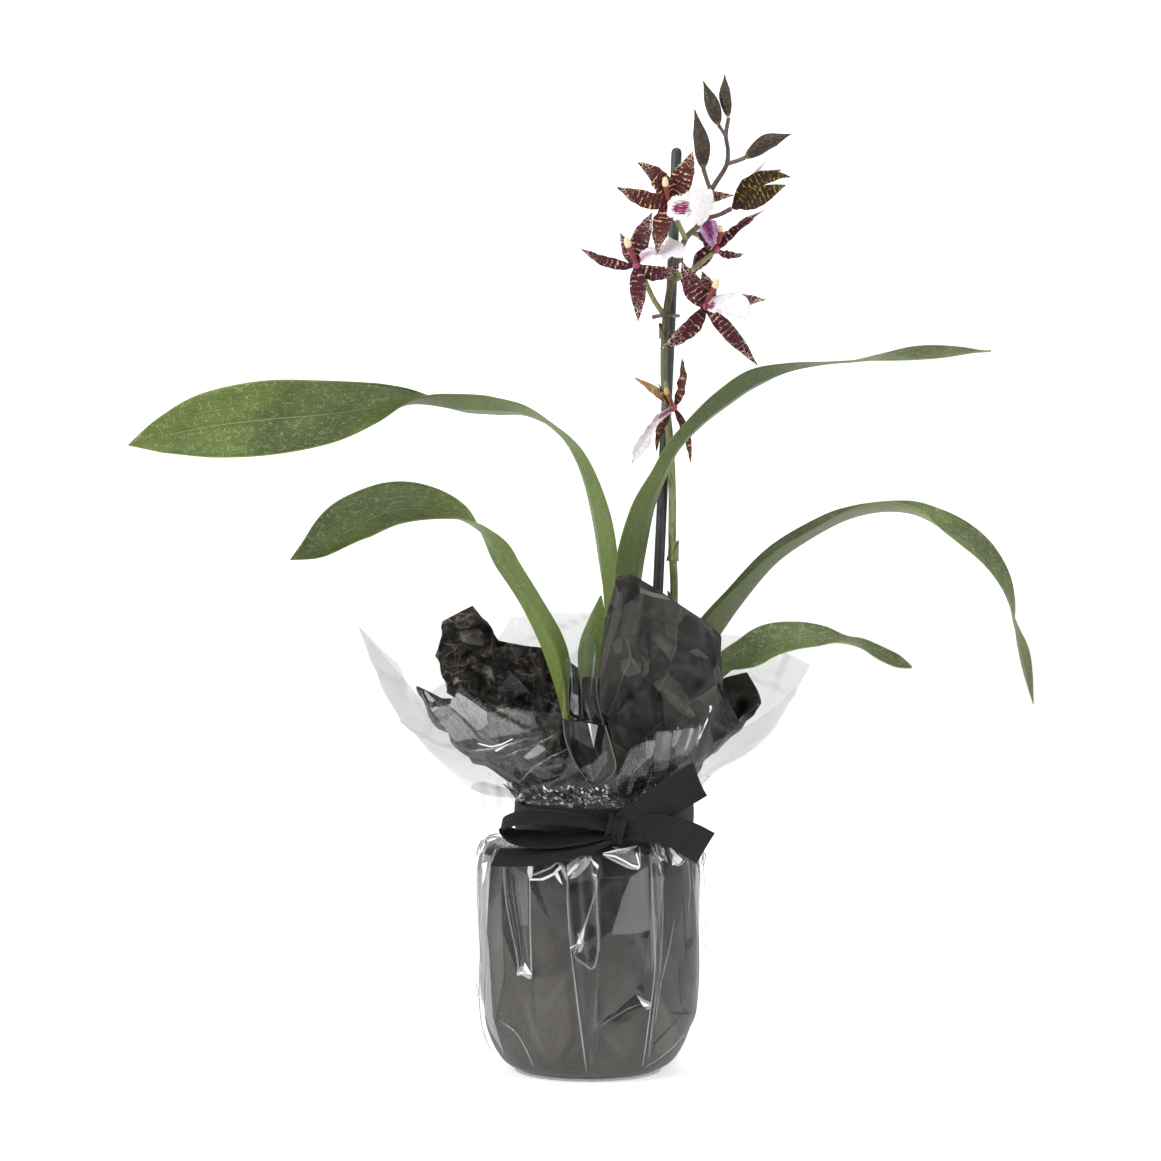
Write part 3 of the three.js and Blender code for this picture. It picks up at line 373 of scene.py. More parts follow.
leafForms = {
    "steps": 150, "across": 14, "middle": 1.3, "edge": 0.4, "keel": 1.2,
    "waviness": 0.9,  # how far the margins roll, in mm
    "tones": {
        "leaf_upper_left": "leafFresh", "leaf_mid_left": "leafDeep", "leaf_upper_right": "leafDeep",
        "leaf_mid_right": "leafGrey", "leaf_short_right": "leafGrey", "leaf_sheath": "leafFresh",
    },
    "rows": {
        "leaf_upper_left": [
            [13.8, -0.5, 190, 7, 125, 58], [13, 1, 203, 8, 125, 58], [10.5, 2, 236.5, 14, 125, 46],
            [8, 0, 276, 19, 122, 32], [3.5, 4, 317, 20, 126, 20], [-7, 10, 349, 19.5, 114, 12],
            [-20, 17, 366, 19, 96, 6], [-37, 24, 375.5, 22, 104, 8], [-56.5, 30, 377.5, 25, 114, 12],
            [-78, 36, 378.5, 28, 110, 12], [-99.5, 42, 381, 32, 84, 12], [-121.5, 46, 378.5, 35, 52, 12],
            [-151, 47, 374.5, 42, 30, 10], [-188, 45, 371.5, 46, 18, 10], [-223.5, 42, 367, 39, 14, 12],
            [-249, 38, 361.5, 21, 12, 14], [-267, 36, 357, 1, 12, 16]],
        "leaf_mid_left": [
            [-12.5, -20.5, 189, 7, 186, 50], [-12.5, -22, 201, 8, 186, 50], [-14.5, -25, 224, 15, 186, 40],
            [-20.5, -29, 246, 16, 186, 30], [-32.5, -32, 269.5, 13.5, 186, 26],
            [-46.5, -36, 290.5, 14, 160, 18], [-57, -40, 306, 21, 112, 12], [-69, -44, 315.5, 31, 82, 18],
            [-88, -50, 321.5, 37, 62, 18], [-109.5, -56, 321.5, 42, 54, 18],
            [-129.5, -62, 313, 42, 50, 18], [-149, -68, 301.5, 26, 46, 20],
            [-165.5, -71, 295.5, 1, 44, 20]],
        "leaf_upper_right": [
            [18.6, -9.5, 190, 8, -128, 58], [19.5, -11, 203, 10, -128, 58],
            [22.5, -13, 236.5, 18, -130, 46], [25.5, -15, 272, 26, -131, 32],
            [27.5, -16, 296.5, 27, -131, 24], [32.7, -21, 322.5, 22.5, -130, 20],
            [40.3, -25, 340, 18, -128, 18], [48.3, -29, 355.7, 17, -124, 16],
            [61.5, -33.5, 370, 19, -120, 16], [78, -40, 383, 26, -116, 16], [93, -45, 393, 28, -114, 14],
            [110, -47.5, 399.5, 24, -104, 10], [130.5, -49, 403.5, 22, -94, 5],
            [148, -49, 405, 22, -90, 5], [164, -48, 406.5, 24, -82, 6], [181, -47, 408, 25, -75, 8],
            [195, -45, 409, 24, -74, 8], [210, -43, 410, 15, -74, 8], [223.5, -41, 410.5, 1, -74, 8]],
        "leaf_mid_right": [
            [50.5, 1.5, 190, 8, -80, 60], [53, 2.2, 203, 10, -80, 60], [62, 7, 229, 24, -80, 58],
            [74.5, 12, 249, 30, -80, 56], [89.5, 18, 269.5, 25, -80, 50], [107.5, 26, 289.5, 23, -82, 40],
            [127.5, 34, 303, 25, -84, 30], [148.5, 42, 313.5, 26, -88, 26], [169, 52, 318, 27, -90, 22],
            [187, 59, 317, 28, -82, 18], [201.5, 65, 311.5, 30, -70, 14], [218, 70, 303, 29, -62, 12],
            [232, 74, 291.5, 27, -60, 12], [243, 77, 276, 23, -62, 12], [248.5, 79, 262.5, 19, -70, 10],
            [251.5, 80, 249.5, 16, -86, 8], [256, 80, 234.5, 13, -108, 10],
            [258.5, 79.5, 222.5, 11, -110, 10], [262.5, 78, 203, 1, -110, 10]],
        "leaf_short_right": [
            [50.5, -3.5, 190, 7, -66, 55], [54, -4, 202, 9, -66, 55], [66, -3, 215.5, 19, -64, 48],
            [80, -4, 229.5, 25, -60, 38], [91.5, -9, 236.5, 29, -54, 26], [103, -15, 244, 29, -50, 16],
            [116.5, -21, 247.3, 27, -54, 14], [130, -26, 247.8, 23, -62, 12], [142, -29, 247, 22, -82, 7],
            [153, -32, 245, 19, -76, 8], [164, -34, 240, 16, -66, 10], [172.5, -35, 236, 13, -64, 10],
            [180.5, -35, 233, 1, -64, 10]],
        "leaf_sheath": [
            [5, 8.5, 138, 9, 150, 50], [3.5, 13, 156, 12, 150, 50], [2, 16, 184, 16, 152, 40],
            [0.5, 16, 214, 19, 154, 32], [-1, 15.5, 238, 19, 150, 26], [2.5, 15, 257, 14, 142, 22],
            [6, 15, 271, 1, 136, 20]],
    },
}

leafTones = {
    # blade, deep shade, fleck, foot, underside
    "leafFresh": ["#667838", "#425127", "#b0b884", "#8d9d49", "#687a42"],
    "leafDeep": ["#556331", "#384422", "#9ba36e", "#86953f", "#5b6b38"],
    "leafGrey": ["#5f6b43", "#404a2d", "#9ea682", "#828d4f", "#636e45"]}

# painted light and shade: how light the blade is from foot to tip, lighter where it turns to the light and
# darker where it turns away
leafShade = {
    "leaf_upper_left": [
        [0.1, 1.15], [0.3, 1.12], [0.46, 0.9], [0.53, 0.8], [0.6, 0.5], [0.68, 0.6], [0.76, 0.76],
        [0.85, 0.92], [1, 0.98]],
    "leaf_mid_left": [[0.2, 1.8], [0.37, 1.45], [0.55, 1.45], [0.7, 0.72], [0.84, 0.82], [1, 0.88]],
    "leaf_upper_right": [
        [0.17, 1.1], [0.3, 0.85], [0.43, 1.08], [0.55, 0.72], [0.63, 0.68], [0.76, 0.9], [0.83, 1.4],
        [1, 1.3]],
    "leaf_mid_right": [
        [0.16, 0.72], [0.31, 0.72], [0.41, 0.68], [0.54, 1.1], [0.65, 1.75], [0.75, 1.4], [0.88, 1.05]],
    "leaf_short_right": [[0.1, 1], [0.3, 1.3], [0.45, 1.55], [1, 1.45]],
    "leaf_sheath": [[0, 1.3], [1, 1.3]],
}


def leafFinish(name, tones):
    blade, deep, fleck, foot, below = tones
    leaf = Finish(name, Specular_IOR_Level=0.32)
    point = leaf.point()
    flat = leaf.flat()
    along = leaf.value("along")
    size = leaf.math("ABSOLUTE", leaf.value("across"))
    clouds = leaf.noise(point, 18, 4, 0.6)
    mottle = leaf.noise(leaf.stretched(flat, 1.6, 0.7, 1), 1.0, 5, 0.65, 0.3)
    colour = leaf.mix(leaf.fade(clouds, 0.34, 0.64), deep, blade)
    colour = leaf.mix(leaf.fade(mottle, 0.52, 0.7) * 0.5, colour, deep)
    # fine veins run the length of the blade, wavering a little
    fibres = leaf.noise(leaf.stretched(flat, 15, 0.35, 1), 1.0, 3, 0.55, 0.1)
    colour = leaf.mix(leaf.fade(fibres, 0.4, 0.64) * 0.45, colour, deep)
    # pale curling scratches and specks
    curl = leaf.noise(flat, 3.4, 3, 0.55, 0.4)
    thread = 1 - leaf.fade(leaf.math("ABSOLUTE", curl - 0.5), 0.005, 0.02)
    broken = leaf.fade(leaf.noise(flat, 2.2, 3, 0.6), 0.44, 0.56)
    colour = leaf.mix(thread * broken * 0.75, colour, fleck)
    scratch = leaf.noise(leaf.stretched(flat, 7, 1.6, 1), 1.3, 8, 0.8, 0.5)
    flecks = leaf.fade(scratch, 0.58, 0.7)
    colour = leaf.mix(flecks * 0.5, colour, fleck)
    colour = leaf.mix(leaf.fade(leaf.noise(flat, 14, 2, 0.5), 0.69, 0.75) * 0.7, colour, fleck)
    # the midrib and the shade beside it, the margin, the foot, the underside and the dry tip
    midrib = 1 - leaf.fade(size, 0.008, 0.024)
    groove = (1 - leaf.fade(size, 0.04, 0.16)) * leaf.fade(size, 0.01, 0.05)
    for amount, tone in (
            (groove * 0.35, deep), (midrib * 0.36, fleck), (leaf.fade(size, 0.94, 0.985) * 0.75, foot),
            ((1 - leaf.fade(along, 0.02, 0.32)) * 0.85, foot), (leaf.value("under") * 0.55, below),
            (leaf.fade(along, 0.97, 1.0) * 0.5, "#7a6a3c")):
        colour = leaf.mix(amount, colour, tone)
    # the blade's colour is scaled by its painted light and shade
    leaf.set(Base_Color=leaf.scale(colour, leaf.value("shade")),
             Roughness=0.36 + leaf.fade(clouds, 0.3, 0.7) * 0.14 + flecks * 0.16)
    leaf.bump(fibres * 0.9 + scratch * 0.4 - midrib * 0.9, 0.0006, 0.8)
    return leaf.material


def makeLeaves():
    finishes = {name: leafFinish(name, tones) for name, tones in leafTones.items()}
    for number, (name, tone) in enumerate(leafForms["tones"].items()):
        def ripple(part, spread, seed=number):
            left, right = (drift(part[:, 0], 9, seed * 2 + k)[:, None] for k in (1, 2))
            return leafForms["waviness"] * (left * (spread > 0) + right * (spread < 0)) * np.abs(spread) ** 3
        leaf = bladePiece(name + "_blade", leafForms["rows"][name], {**leafForms, "ripple": ripple},
                          {"shade": leafShade[name]}, finishes[tone])
        settle(leaf, [name])
    print("leaves grown")


makeLeaves()


bulbForm = {
    "bulbs": [[-20, 2, -13.5, -20, 199, 13], [8, 0, 16, -5, 201, 14], [30, -2, 51, -1, 200, 11]],
    "low": 100, "ribs": 11, "ribDepth": 0.05, "sides": 88, "steps": 60,
    "creeper": [[-30, 8, 101, 4], [-8, 4, 103, 6], [18, 3, 103, 6], [42, -4, 101, 4]],
    "shape": [[0, 0.62], [0.25, 1], [0.55, 0.92], [0.85, 0.7], [1, 0.58]],
}


def bulbFinish():
    bulb = Finish("bulbGreen", Specular_IOR_Level=0.45)
    point = bulb.point()
    patches = bulb.noise(point, 40, 4, 0.6)
    streak = bulb.noise(bulb.stretched(point, 220, 220, 14), 1.0, 3)
    colour = bulb.mix(bulb.fade(patches, 0.35, 0.7), "#5f7036", "#879552")
    colour = bulb.mix(bulb.fade(streak, 0.5, 0.7) * 0.4, colour, "#4c5a2c")
    colour = bulb.mix(1 - bulb.fade(bulb.value("along"), 0.0, 0.22), colour, "#8a7a4e")
    bulb.set(Base_Color=colour, Roughness=0.38 + patches * 0.16)
    bulb.bump(streak * 0.5 + patches * 0.5, 0.0006, 0.5)
    return bulb.material


def makeBulbs():
    form = bulbForm
    finish = bulbFinish()
    parts = []

    def ribbed(part, turn):
        return 1 + form["ribDepth"] * (np.cos(turn * form["ribs"]) - 1) * 0.5 * np.sin(part * math.pi)
    for number, (x0, y0, x1, y1, top, wide) in enumerate(form["bulbs"]):
        foot, rise = np.array([x0, y0, form["low"]]), np.array([x1 - x0, y1 - y0, top - form["low"]])
        rows = [[*foot + rise * k, wide * size] for k, size in form["shape"]]
        parts.append(tubePiece("bulb" + str(number), rows, form["sides"], form["steps"], finish, ribbed))
    parts.append(tubePiece("creeper", form["creeper"], 24, 30, finish))
    settle(mergePieces("bulb_cluster", parts), ["pseudobulbs"])
    print("bulbs set")


makeBulbs()


barkForm = {"top": 104, "edge": 52, "foot": 4.4, "footRadius": 36.5, "rim": 99, "sides": 96, "chips": 420,
            "crown": [[47, 101.5], [36, 103.2], [18, 104.2], [1, 104.6]], "peak": 104.7,
            "carpet": [2, 22, 44], "chipSize": 9, "kinds": 5, "seed": 4}


def barkFinish():
    bark = Finish("barkChip", Roughness=0.85, Specular_IOR_Level=0.25)
    point = bark.point()
    grain = bark.noise(bark.stretched(point, 120, 420, 260), 1.0, 5, 0.65, 0.3)
    colour = bark.mix(bark.fade(grain, 0.35, 0.68), "#2d1c12", "#6e4a30")
    bark.set(Base_Color=bark.mix(bark.fade(bark.noise(point, 60, 2), 0.5, 0.7), colour, "#4a3424"))
    bark.bump(grain, 0.0012, 0.8)
    return bark.material


def chipMesh(seed):
    # one flake of bark, a split slab with broken ends
    random = np.random.default_rng(seed)
    rows, columns = 5, 4
    points = []
    for top in (1, -1):
        for i in range(rows):
            for j in range(columns):
                u, v = i / (rows - 1) - 0.5, j / (columns - 1) - 0.5
                rim = 1 - 0.7 * max(abs(u), abs(v)) * 2 * 0.55
                points.append([u * 1.6 + random.uniform(-0.1, 0.1), v + random.uniform(-0.12, 0.12),
                               top * 0.26 * rim + random.uniform(-0.05, 0.05) + 0.3 * (u * u)])
    return makePiece("chip" + str(seed), np.array(points) * 1000, shellFaces(rows, columns), smooth=False,
                     outward=True)


def growTree(name, inputs, nodes, links):
    # a geometry tree from [label, kind, value] inputs, nodes with their settings, and links between
    # sockets; it ends in real meshes with a finish on them
    tree = bpy.data.node_groups.new(name, "GeometryNodeTree")
    for label, kind, value in (("Geometry", "Geometry", None), *inputs):
        socket = tree.interface.new_socket(label, in_out="INPUT", socket_type="NodeSocket" + kind)
        if value is not None:
            socket.default_value = value
    tree.interface.new_socket("Geometry", in_out="OUTPUT", socket_type="NodeSocketGeometry")
    made = {}
    for label, (kind, settings) in nodes.items():
        made[label] = tree.nodes.new(kind)
        for key, value in settings.items():
            if isinstance(key, str) and hasattr(made[label], key):
                setattr(made[label], key, value)
            else:
                made[label].inputs[key].default_value = value
    for line in links:
        source, output, target, socket = line.split(", ")
        tree.links.new(made[source].outputs[output], made[target].inputs[socket])
    return tree


def scatterTree(name, finish):
    # chips spread over a surface, each turned and sized at random
    return growTree(
        name,
        [["Kinds", "Collection", None], ["Density", "Float", 1000.0], ["Smallest", "Float", 0.5],
         ["Largest", "Float", 1.0], ["Lift", "Float", 0.0], ["Seed", "Int", None]],
        {"given": ["NodeGroupInput", {}], "spread": ["GeometryNodeDistributePointsOnFaces", {}],
         "kinds": ["GeometryNodeCollectionInfo", {"Separate Children": True, "Reset Children": True}],
         "place": ["GeometryNodeInstanceOnPoints", {"Pick Instance": True}],
         "turn": ["FunctionNodeRandomValue", {"data_type": "FLOAT_VECTOR", 0: (-0.5, -0.5, -3.14),
                                              1: (0.5, 0.5, 3.14)}],
         "size": ["FunctionNodeRandomValue", {}], "move": ["GeometryNodeSetPosition", {}],
         "up": ["ShaderNodeCombineXYZ", {}], "real": ["GeometryNodeRealizeInstances", {}],
         "paint": ["GeometryNodeSetMaterial", {"Material": finish}], "result": ["NodeGroupOutput", {}]},
        ["given, Geometry, spread, Mesh", "given, Density, spread, Density", "given, Seed, spread, Seed",
         "given, Kinds, kinds, Collection", "spread, Points, move, Geometry", "given, Lift, up, Z",
         "up, Vector, move, Offset", "move, Geometry, place, Points", "kinds, Instances, place, Instance",
         "turn, Value, place, Rotation", "given, Smallest, size, Min", "given, Largest, size, Max",
         "given, Seed, size, Seed", "size, Value, place, Scale", "place, Instances, real, Geometry",
         "real, Geometry, paint, Geometry", "paint, Geometry, result, Geometry"])


def grownMesh(piece, tree, settings, name):
    # the tree's result on this piece as a plain mesh piece; the piece it grew from is removed
    grow = piece.modifiers.new("grow", "NODES")
    grow.node_group = tree
    for item in tree.interface.items_tree:
        if item.in_out == "INPUT" and item.name in settings:
            grow[item.identifier] = settings[item.name]
    bpy.context.view_layer.update()
    mesh = plainMesh(piece, name)
    bpy.data.objects.remove(piece, do_unlink=True)
    return addObject(name, mesh)


def makeBark():
    form = barkForm
    finish = barkFinish()
    foot, sides, rim = form["foot"], form["sides"], form["rim"]
    slope = (form["edge"] - form["footRadius"]) / (form["top"] - foot)
    profile = [[form["footRadius"] + slope * (z - foot), z] for z in np.linspace(foot, rim, 6)]
    profile += form["crown"]
    turn = np.linspace(0, fullTurn, sides, endpoint=False)
    random = np.random.default_rng(form["seed"])
    points = []
    for r, z in profile:
        rough = random.uniform(-0.5, 0.5, sides) * (z > rim)
        points.append(np.column_stack([r * np.cos(turn), r * np.sin(turn), z + rough]))
    end = len(profile) * sides
    faces = gridFaces(len(profile), sides, closed=True)
    for j in range(sides):
        k = (j + 1) % sides
        faces += [(end, k, j), (end + 1, end - sides + j, end - sides + k)]
    mound = makePiece("bark_mound", np.vstack([*points, [[0, 0, foot], [0, 0, form["peak"]]]]), faces,
                      material=finish, outward=True)
    disc = [[r * math.cos(a), r * math.sin(a), form["top"]] for r in form["carpet"] for a in turn]
    carpet = makePiece("bark_carpet", disc, gridFaces(3, sides, closed=True), outward=True)
    kinds = bpy.data.collections.new("barkKinds")
    for seed in range(form["kinds"]):
        chip = chipMesh(seed)
        bpy.context.scene.collection.objects.unlink(chip)
        kinds.objects.link(chip)
    area, largest = math.pi * (form["carpet"][-1] * mm) ** 2, form["chipSize"] * mm
    settings = {"Kinds": kinds, "Density": form["chips"] / area, "Seed": form["seed"],
                "Smallest": largest * 0.45, "Largest": largest, "Lift": 0.5 * mm}
    chips = grownMesh(carpet, scatterTree("barkScatter", finish), settings, "bark_chips")
    for chip in list(kinds.objects):
        bpy.data.objects.remove(chip, do_unlink=True)
    bpy.data.collections.remove(kinds)
    settle(mound, ["bark_mix"])
    settle(chips, ["bark_mix"])
    print("bark spread")


makeBark()


def potFinish():
    pot = Finish("potPlastic", Roughness=0.5, Specular_IOR_Level=0.4)
    point = pot.point()
    dust = pot.noise(point, 60, 5, 0.6)
    scuffs = pot.noise(pot.stretched(point, 300, 300, 30), 1.0, 4)
    pot.set(Base_Color=pot.mix(pot.fade(dust, 0.45, 0.75) * 0.5, "#232325", "#4b4a48"),
            Roughness=0.42 + scuffs * 0.25)
    pot.bump(scuffs, 0.0003, 0.4)
    return pot.material


pot = frame["nodes"]["grow_pot"].data.materials
pot.clear()
pot.append(potFinish())


stemForm = {
    "sides": 20, "spacing": 1.2, "joints": [264, 295, 422, 464.5],
    "main": [
        [40, 15, 98, 3.2], [41, 16, 170, 2.9], [46, 15, 240, 2.4], [48.3, 14, 272, 2.3],
        [47.2, 11, 300, 2.3], [46.9, 4, 332, 2.2], [45.4, -2, 359, 2.2], [43, -4.5, 383, 2.2],
        [42, -5, 400, 2.1], [42.8, -5, 427, 2.1], [45, -4, 444.5, 2], [48.3, -2, 459, 1.9],
        [54.5, 1, 475, 1.7], [62, 2, 483, 1.6], [68.6, 2, 501.5, 1.5], [77.5, 2, 516.7, 1.3],
        [78.2, 2, 525, 1.2], [77, 1, 533, 1.2], [78.5, 0, 543, 1.1]],
    "stalks": {
        "flower_b": [[43, -4, 430, 1.6], [36, -8, 440, 1.5], [28.5, -14.5, 456.5, 1.3]],
        "flower_a": [[54.4, 1, 474, 1.6], [50, -6, 483, 1.4], [45.5, -17, 492, 1.3]],
        "flower_c": [[48, -2.5, 457, 1.5], [54.5, -6, 449, 1.3], [62, -11, 439.5, 1.2]],
        "flower_d": [[46, -2, 450, 1.5], [55, 6, 455, 1.5], [64, 13, 462, 1.5], [70, 15.5, 467, 1.3]],
        "flower_e": [[42, -4.5, 396, 1.4], [43.5, -8, 389, 1.2], [46, -11.5, 382, 1.2]],
        "bud_left": [[68.6, 2, 501.5, 1.4], [66, 0, 508.5, 1.2], [64.2, -2, 514, 1.3]],
        "bud_right": [[77.7, 2, 517, 1.3], [83, 1, 518.5, 1.2], [87.8, 0, 520.3, 1.3]],
        "bud_second": [[77, 1, 532.5, 1.1], [74.7, 0, 536, 1], [72.8, -1, 538.5, 1.1]],
        "bud_opening": [[64.4, 2, 486, 1.4], [73, -1, 488, 1.3], [79.8, -4, 491.3, 1.4]],
    },
    # bracts clasp the stem at its joints: foot, height, half width, turn in degrees
    "bracts": [
        [48.3, 14, 261, 13, 3.4, 200], [47.3, 11.4, 291, 12, 3.3, 20], [42.5, -5, 418, 9, 3.1, 150],
        [50, -1, 461, 7, 2.7, 300]],
}


def tubeTree(name, finish):
    # sweeps a round section along a curve, as thick as the curve's own points say
    return growTree(
        name,
        [["Sides", "Int", 16], ["Spacing", "Float", 0.001]],
        {"given": ["NodeGroupInput", {}], "even": ["GeometryNodeResampleCurve", {"mode": "LENGTH"}],
         "section": ["GeometryNodeCurvePrimitiveCircle", {"Radius": 1.0}],
         "sweep": ["GeometryNodeCurveToMesh", {"Fill Caps": True}], "width": ["GeometryNodeInputRadius", {}],
         "soft": ["GeometryNodeSetShadeSmooth", {}], "real": ["GeometryNodeRealizeInstances", {}],
         "paint": ["GeometryNodeSetMaterial", {"Material": finish}], "result": ["NodeGroupOutput", {}]},
        ["given, Geometry, even, Curve", "given, Spacing, even, Length", "given, Sides, section, Resolution",
         "even, Curve, sweep, Curve", "section, Curve, sweep, Profile Curve", "width, Radius, sweep, Scale",
         "sweep, Mesh, soft, Geometry", "soft, Geometry, real, Geometry", "real, Geometry, paint, Geometry",
         "paint, Geometry, result, Geometry"])


def sweptPiece(name, lines, finish, settings, closed=False):
    # a round rod along every line of [x, y, z, radius] in millimetres
    curve = bpy.data.curves.new(name, "CURVE")
    curve.dimensions = "3D"
    for rows in lines:
        run = curve.splines.new("POLY")
        run.points.add(len(rows) - 1)
        run.use_cyclic_u = closed
        for spot, (x, y, z, radius) in zip(run.points, rows):
            spot.co = (x * mm, y * mm, z * mm, 1)
            spot.radius = radius * mm
    settings = {"Sides": settings["sides"], "Spacing": settings["spacing"] * mm}
    return grownMesh(addObject(name + "_path", curve), tubeTree(name + "Tube", finish), settings, name)


def smoothRun(rows, count):
    rows = np.asarray(rows, float)
    places = np.linspace(0, 1, count)
    return np.column_stack([throughPoints(rows[:, :3], places), throughPoints(rows[:, 3:4], places, 0.4)])


def stemFinish():
    # green below, brown and purple toward the buds
    stem = Finish("stemGreen", Specular_IOR_Level=0.4)
    point = stem.point()
    height = stem.axis(point, "Z")
    streak = stem.noise(stem.stretched(point, 500, 500, 24), 1.0, 4, 0.6)
    spots = stem.noise(point, 300, 3, 0.6)
    colour = stem.mix(stem.fade(height + streak * 0.06, 0.32, 0.46), "#869058", "#5f5a42")
    colour = stem.mix(stem.fade(height, 0.475, 0.52), colour, "#5f504c")
    colour = stem.mix(stem.fade(streak, 0.46, 0.62) * 0.6, colour, "#3b362b")
    colour = stem.mix(stem.fade(spots, 0.62, 0.72) * 0.4, colour, "#b3b08a")
    stem.set(Base_Color=colour, Roughness=0.42 + spots * 0.15)
    stem.bump(streak, 0.0002, 0.5)
    return stem.material


def stalkFinish(name, green, brown):
    stalk = Finish(name, Specular_IOR_Level=0.3)
    point = stalk.point()
    streak = stalk.noise(stalk.stretched(point, 300, 300, 60), 1.0, 3, 0.6)
    spots = stalk.noise(point, 420, 3, 0.6)
    colour = stalk.mix(stalk.fade(streak, 0.4, 0.66), green, brown)
    stalk.set(Base_Color=stalk.mix(stalk.fade(spots, 0.6, 0.72) * 0.4, colour, "#4f3a34"),
              Roughness=0.45 + spots * 0.15)
    stalk.bump(streak, 0.0002, 0.5)
    return stalk.material


def makeStem():
    form = stemForm
    finish = stemFinish()
    main = smoothRun(form["main"], 400)
    main[:, 3] += 0.55 * sum(np.exp(-((main[:, 2] - z) / 2.6) ** 2) for z in form["joints"])
    settle(sweptPiece("stem_main", [main], finish, form), ["flower_stem"])
    tones = {"flower": stalkFinish("stalkGreen", "#8d8f60", "#7d7356"),
             "bud": stalkFinish("stalkBrown", "#75695c", "#5f4d4a")}
    for kind, tone in tones.items():
        lines = [smoothRun(stalk, 40) for name, stalk in form["stalks"].items() if name.startswith(kind)]
        settle(sweptPiece(kind + "_stalks", lines, tone, form), ["flower_stem"])
    bracts = []
    rows, columns = 13, 15
    for number, (x, y, z, tall, wide, turn) in enumerate(form["bracts"]):
        turn = math.radians(turn)
        points = []
        for shell in (0, 0.35):
            for i in range(rows):
                k = i / (rows - 1)
                reach = (wide + shell) * (1 - 0.12 * k)
                for j in range(columns):
                    a = (j / (columns - 1) - 0.5) * 2 * (2.5 * (1 - k) ** 0.7 + 0.1) + turn
                    points.append([x + math.cos(a) * reach + math.cos(turn) * 0.7 * k * k,
                                   y + math.sin(a) * reach + math.sin(turn) * 0.7 * k * k, z + tall * k])
        bracts.append(makePiece("bract" + str(number), points, shellFaces(rows, columns), material=finish,
                                outward=True))
    settle(mergePieces("stem_bracts", bracts), ["flower_stem"])
    print("stem raised")


makeStem()


stakeForm = {
    "path": [[29, 15, 40, 3], [38.9, 10.2, 273, 3], [45.9, 7.2, 431, 3], [49.2, 5, 526.5, 3]], "sides": 28,
    "spacing": 0.7,
}


def stakeFinish():
    stake = Finish("stakePlastic", Specular_IOR_Level=0.5)
    point = stake.point()
    grain = stake.noise(stake.stretched(point, 600, 600, 18), 1.0, 4)
    dust = stake.noise(point, 90, 4, 0.6)
    colour = stake.mix(stake.fade(stake.axis(point, "Z"), 0.32, 0.47), "#222326", "#3a433f")
    stake.set(Base_Color=stake.mix(stake.fade(dust, 0.5, 0.75) * 0.35, colour, "#59605f"),
              Roughness=0.4 + grain * 0.2)
    stake.bump(grain, 0.0002, 0.4)
    return stake.material


def makeStake():
    form = stakeForm
    rows = smoothRun(form["path"], 30).tolist()
    *top, radius = rows.pop()
    ahead = unit(top - np.array(rows[-1][:3]))
    # a round end
    for angle in np.linspace(0, 1, 9) * math.pi / 2:
        rows.append([*top + ahead * radius * (math.sin(angle) - 1), max(radius * math.cos(angle), 0.15)])
    settle(sweptPiece("stake_rod", [rows], stakeFinish(), form), ["stake"])


makeStake()


clipForm = {
    "height": 431, "radius": 1, "sides": 14, "spacing": 0.7,
    "loop": [
        [42.6, -9], [46.2, -7.2], [47.3, -2.5], [49, 2.5], [50.4, 6.5], [49.2, 10.7], [45.8, 12],
        [42.2, 10.6], [40.9, 6], [39.7, 1], [39.2, -3], [39.8, -7.2]],
    "tab": [[40.2, -6.8, 431, 0.9], [38, -7.6, 430.6, 1.1], [35.4, -8.5, 430, 1.2]],
}


def clipFinish():
    clip = Finish("clipPlastic", Specular_IOR_Level=0.5)
    haze = clip.noise(clip.point(), 200, 3)
    clip.set(Base_Color=clip.mix(clip.fade(haze, 0.4, 0.7), "#4c4a3d", "#6d6a58"),
             Roughness=0.35 + haze * 0.2)
    clip.bump(haze, 0.0002, 0.3)
    return clip.material


def makeClip():
    form = clipForm
    finish = clipFinish()
    flat = throughPoints(form["loop"] + form["loop"][:3], np.linspace(1 / 14, 13 / 14, 97)[:-1])
    ring = [[x, y, form["height"], form["radius"]] for x, y in flat]
    hoop = sweptPiece("clip_hoop", [ring], finish, form, closed=True)
    settle(mergePieces("clip_loop", [hoop, tubePiece("clip_tab", form["tab"], 16, 16, finish)]),
           ["stem_clip"])


makeClip()


budForm = {
    "sides": 48, "steps": 44, "groove": 0.07,
    "lower": [[0, 0.3], [0.25, 0.66], [0.6, 0.93]],
    "upper": [[0, 1], [0.3, 0.86], [0.58, 0.52], [0.82, 0.22]],
    "buds": {
        "bud_top": [[78.3, 0, 543.7], [76.4, 0, 555], [76.3, 2, 567.3], 3.4],
        "bud_second": [[72.7, -1, 539], [69.4, -2, 549.5], [64, -3, 563.4], 4.2],
        "bud_left": [[64.1, -2, 514.5], [63.4, -3, 527.5], [59.1, -5, 547.2], 4.6],
        "bud_right": [[88.3, 0, 520.6], [99.8, -1, 529], [113.5, -4, 533.4], 4.6],
    },
    "opening": {
        "centre": [82.1, -4.5, 492.7],
        "sepals": [
            [113.5, -6, 509, 13.5, -30, -2, 0, 5], [110.5, -9, 504.5, 13.5, 20, 0, -4, 1],
            [108.5, -2, 513.5, 11, 150, -3, 3, 4], [100.5, 1, 519, 4.5, 0, 0, 4, 2]],
    },
}


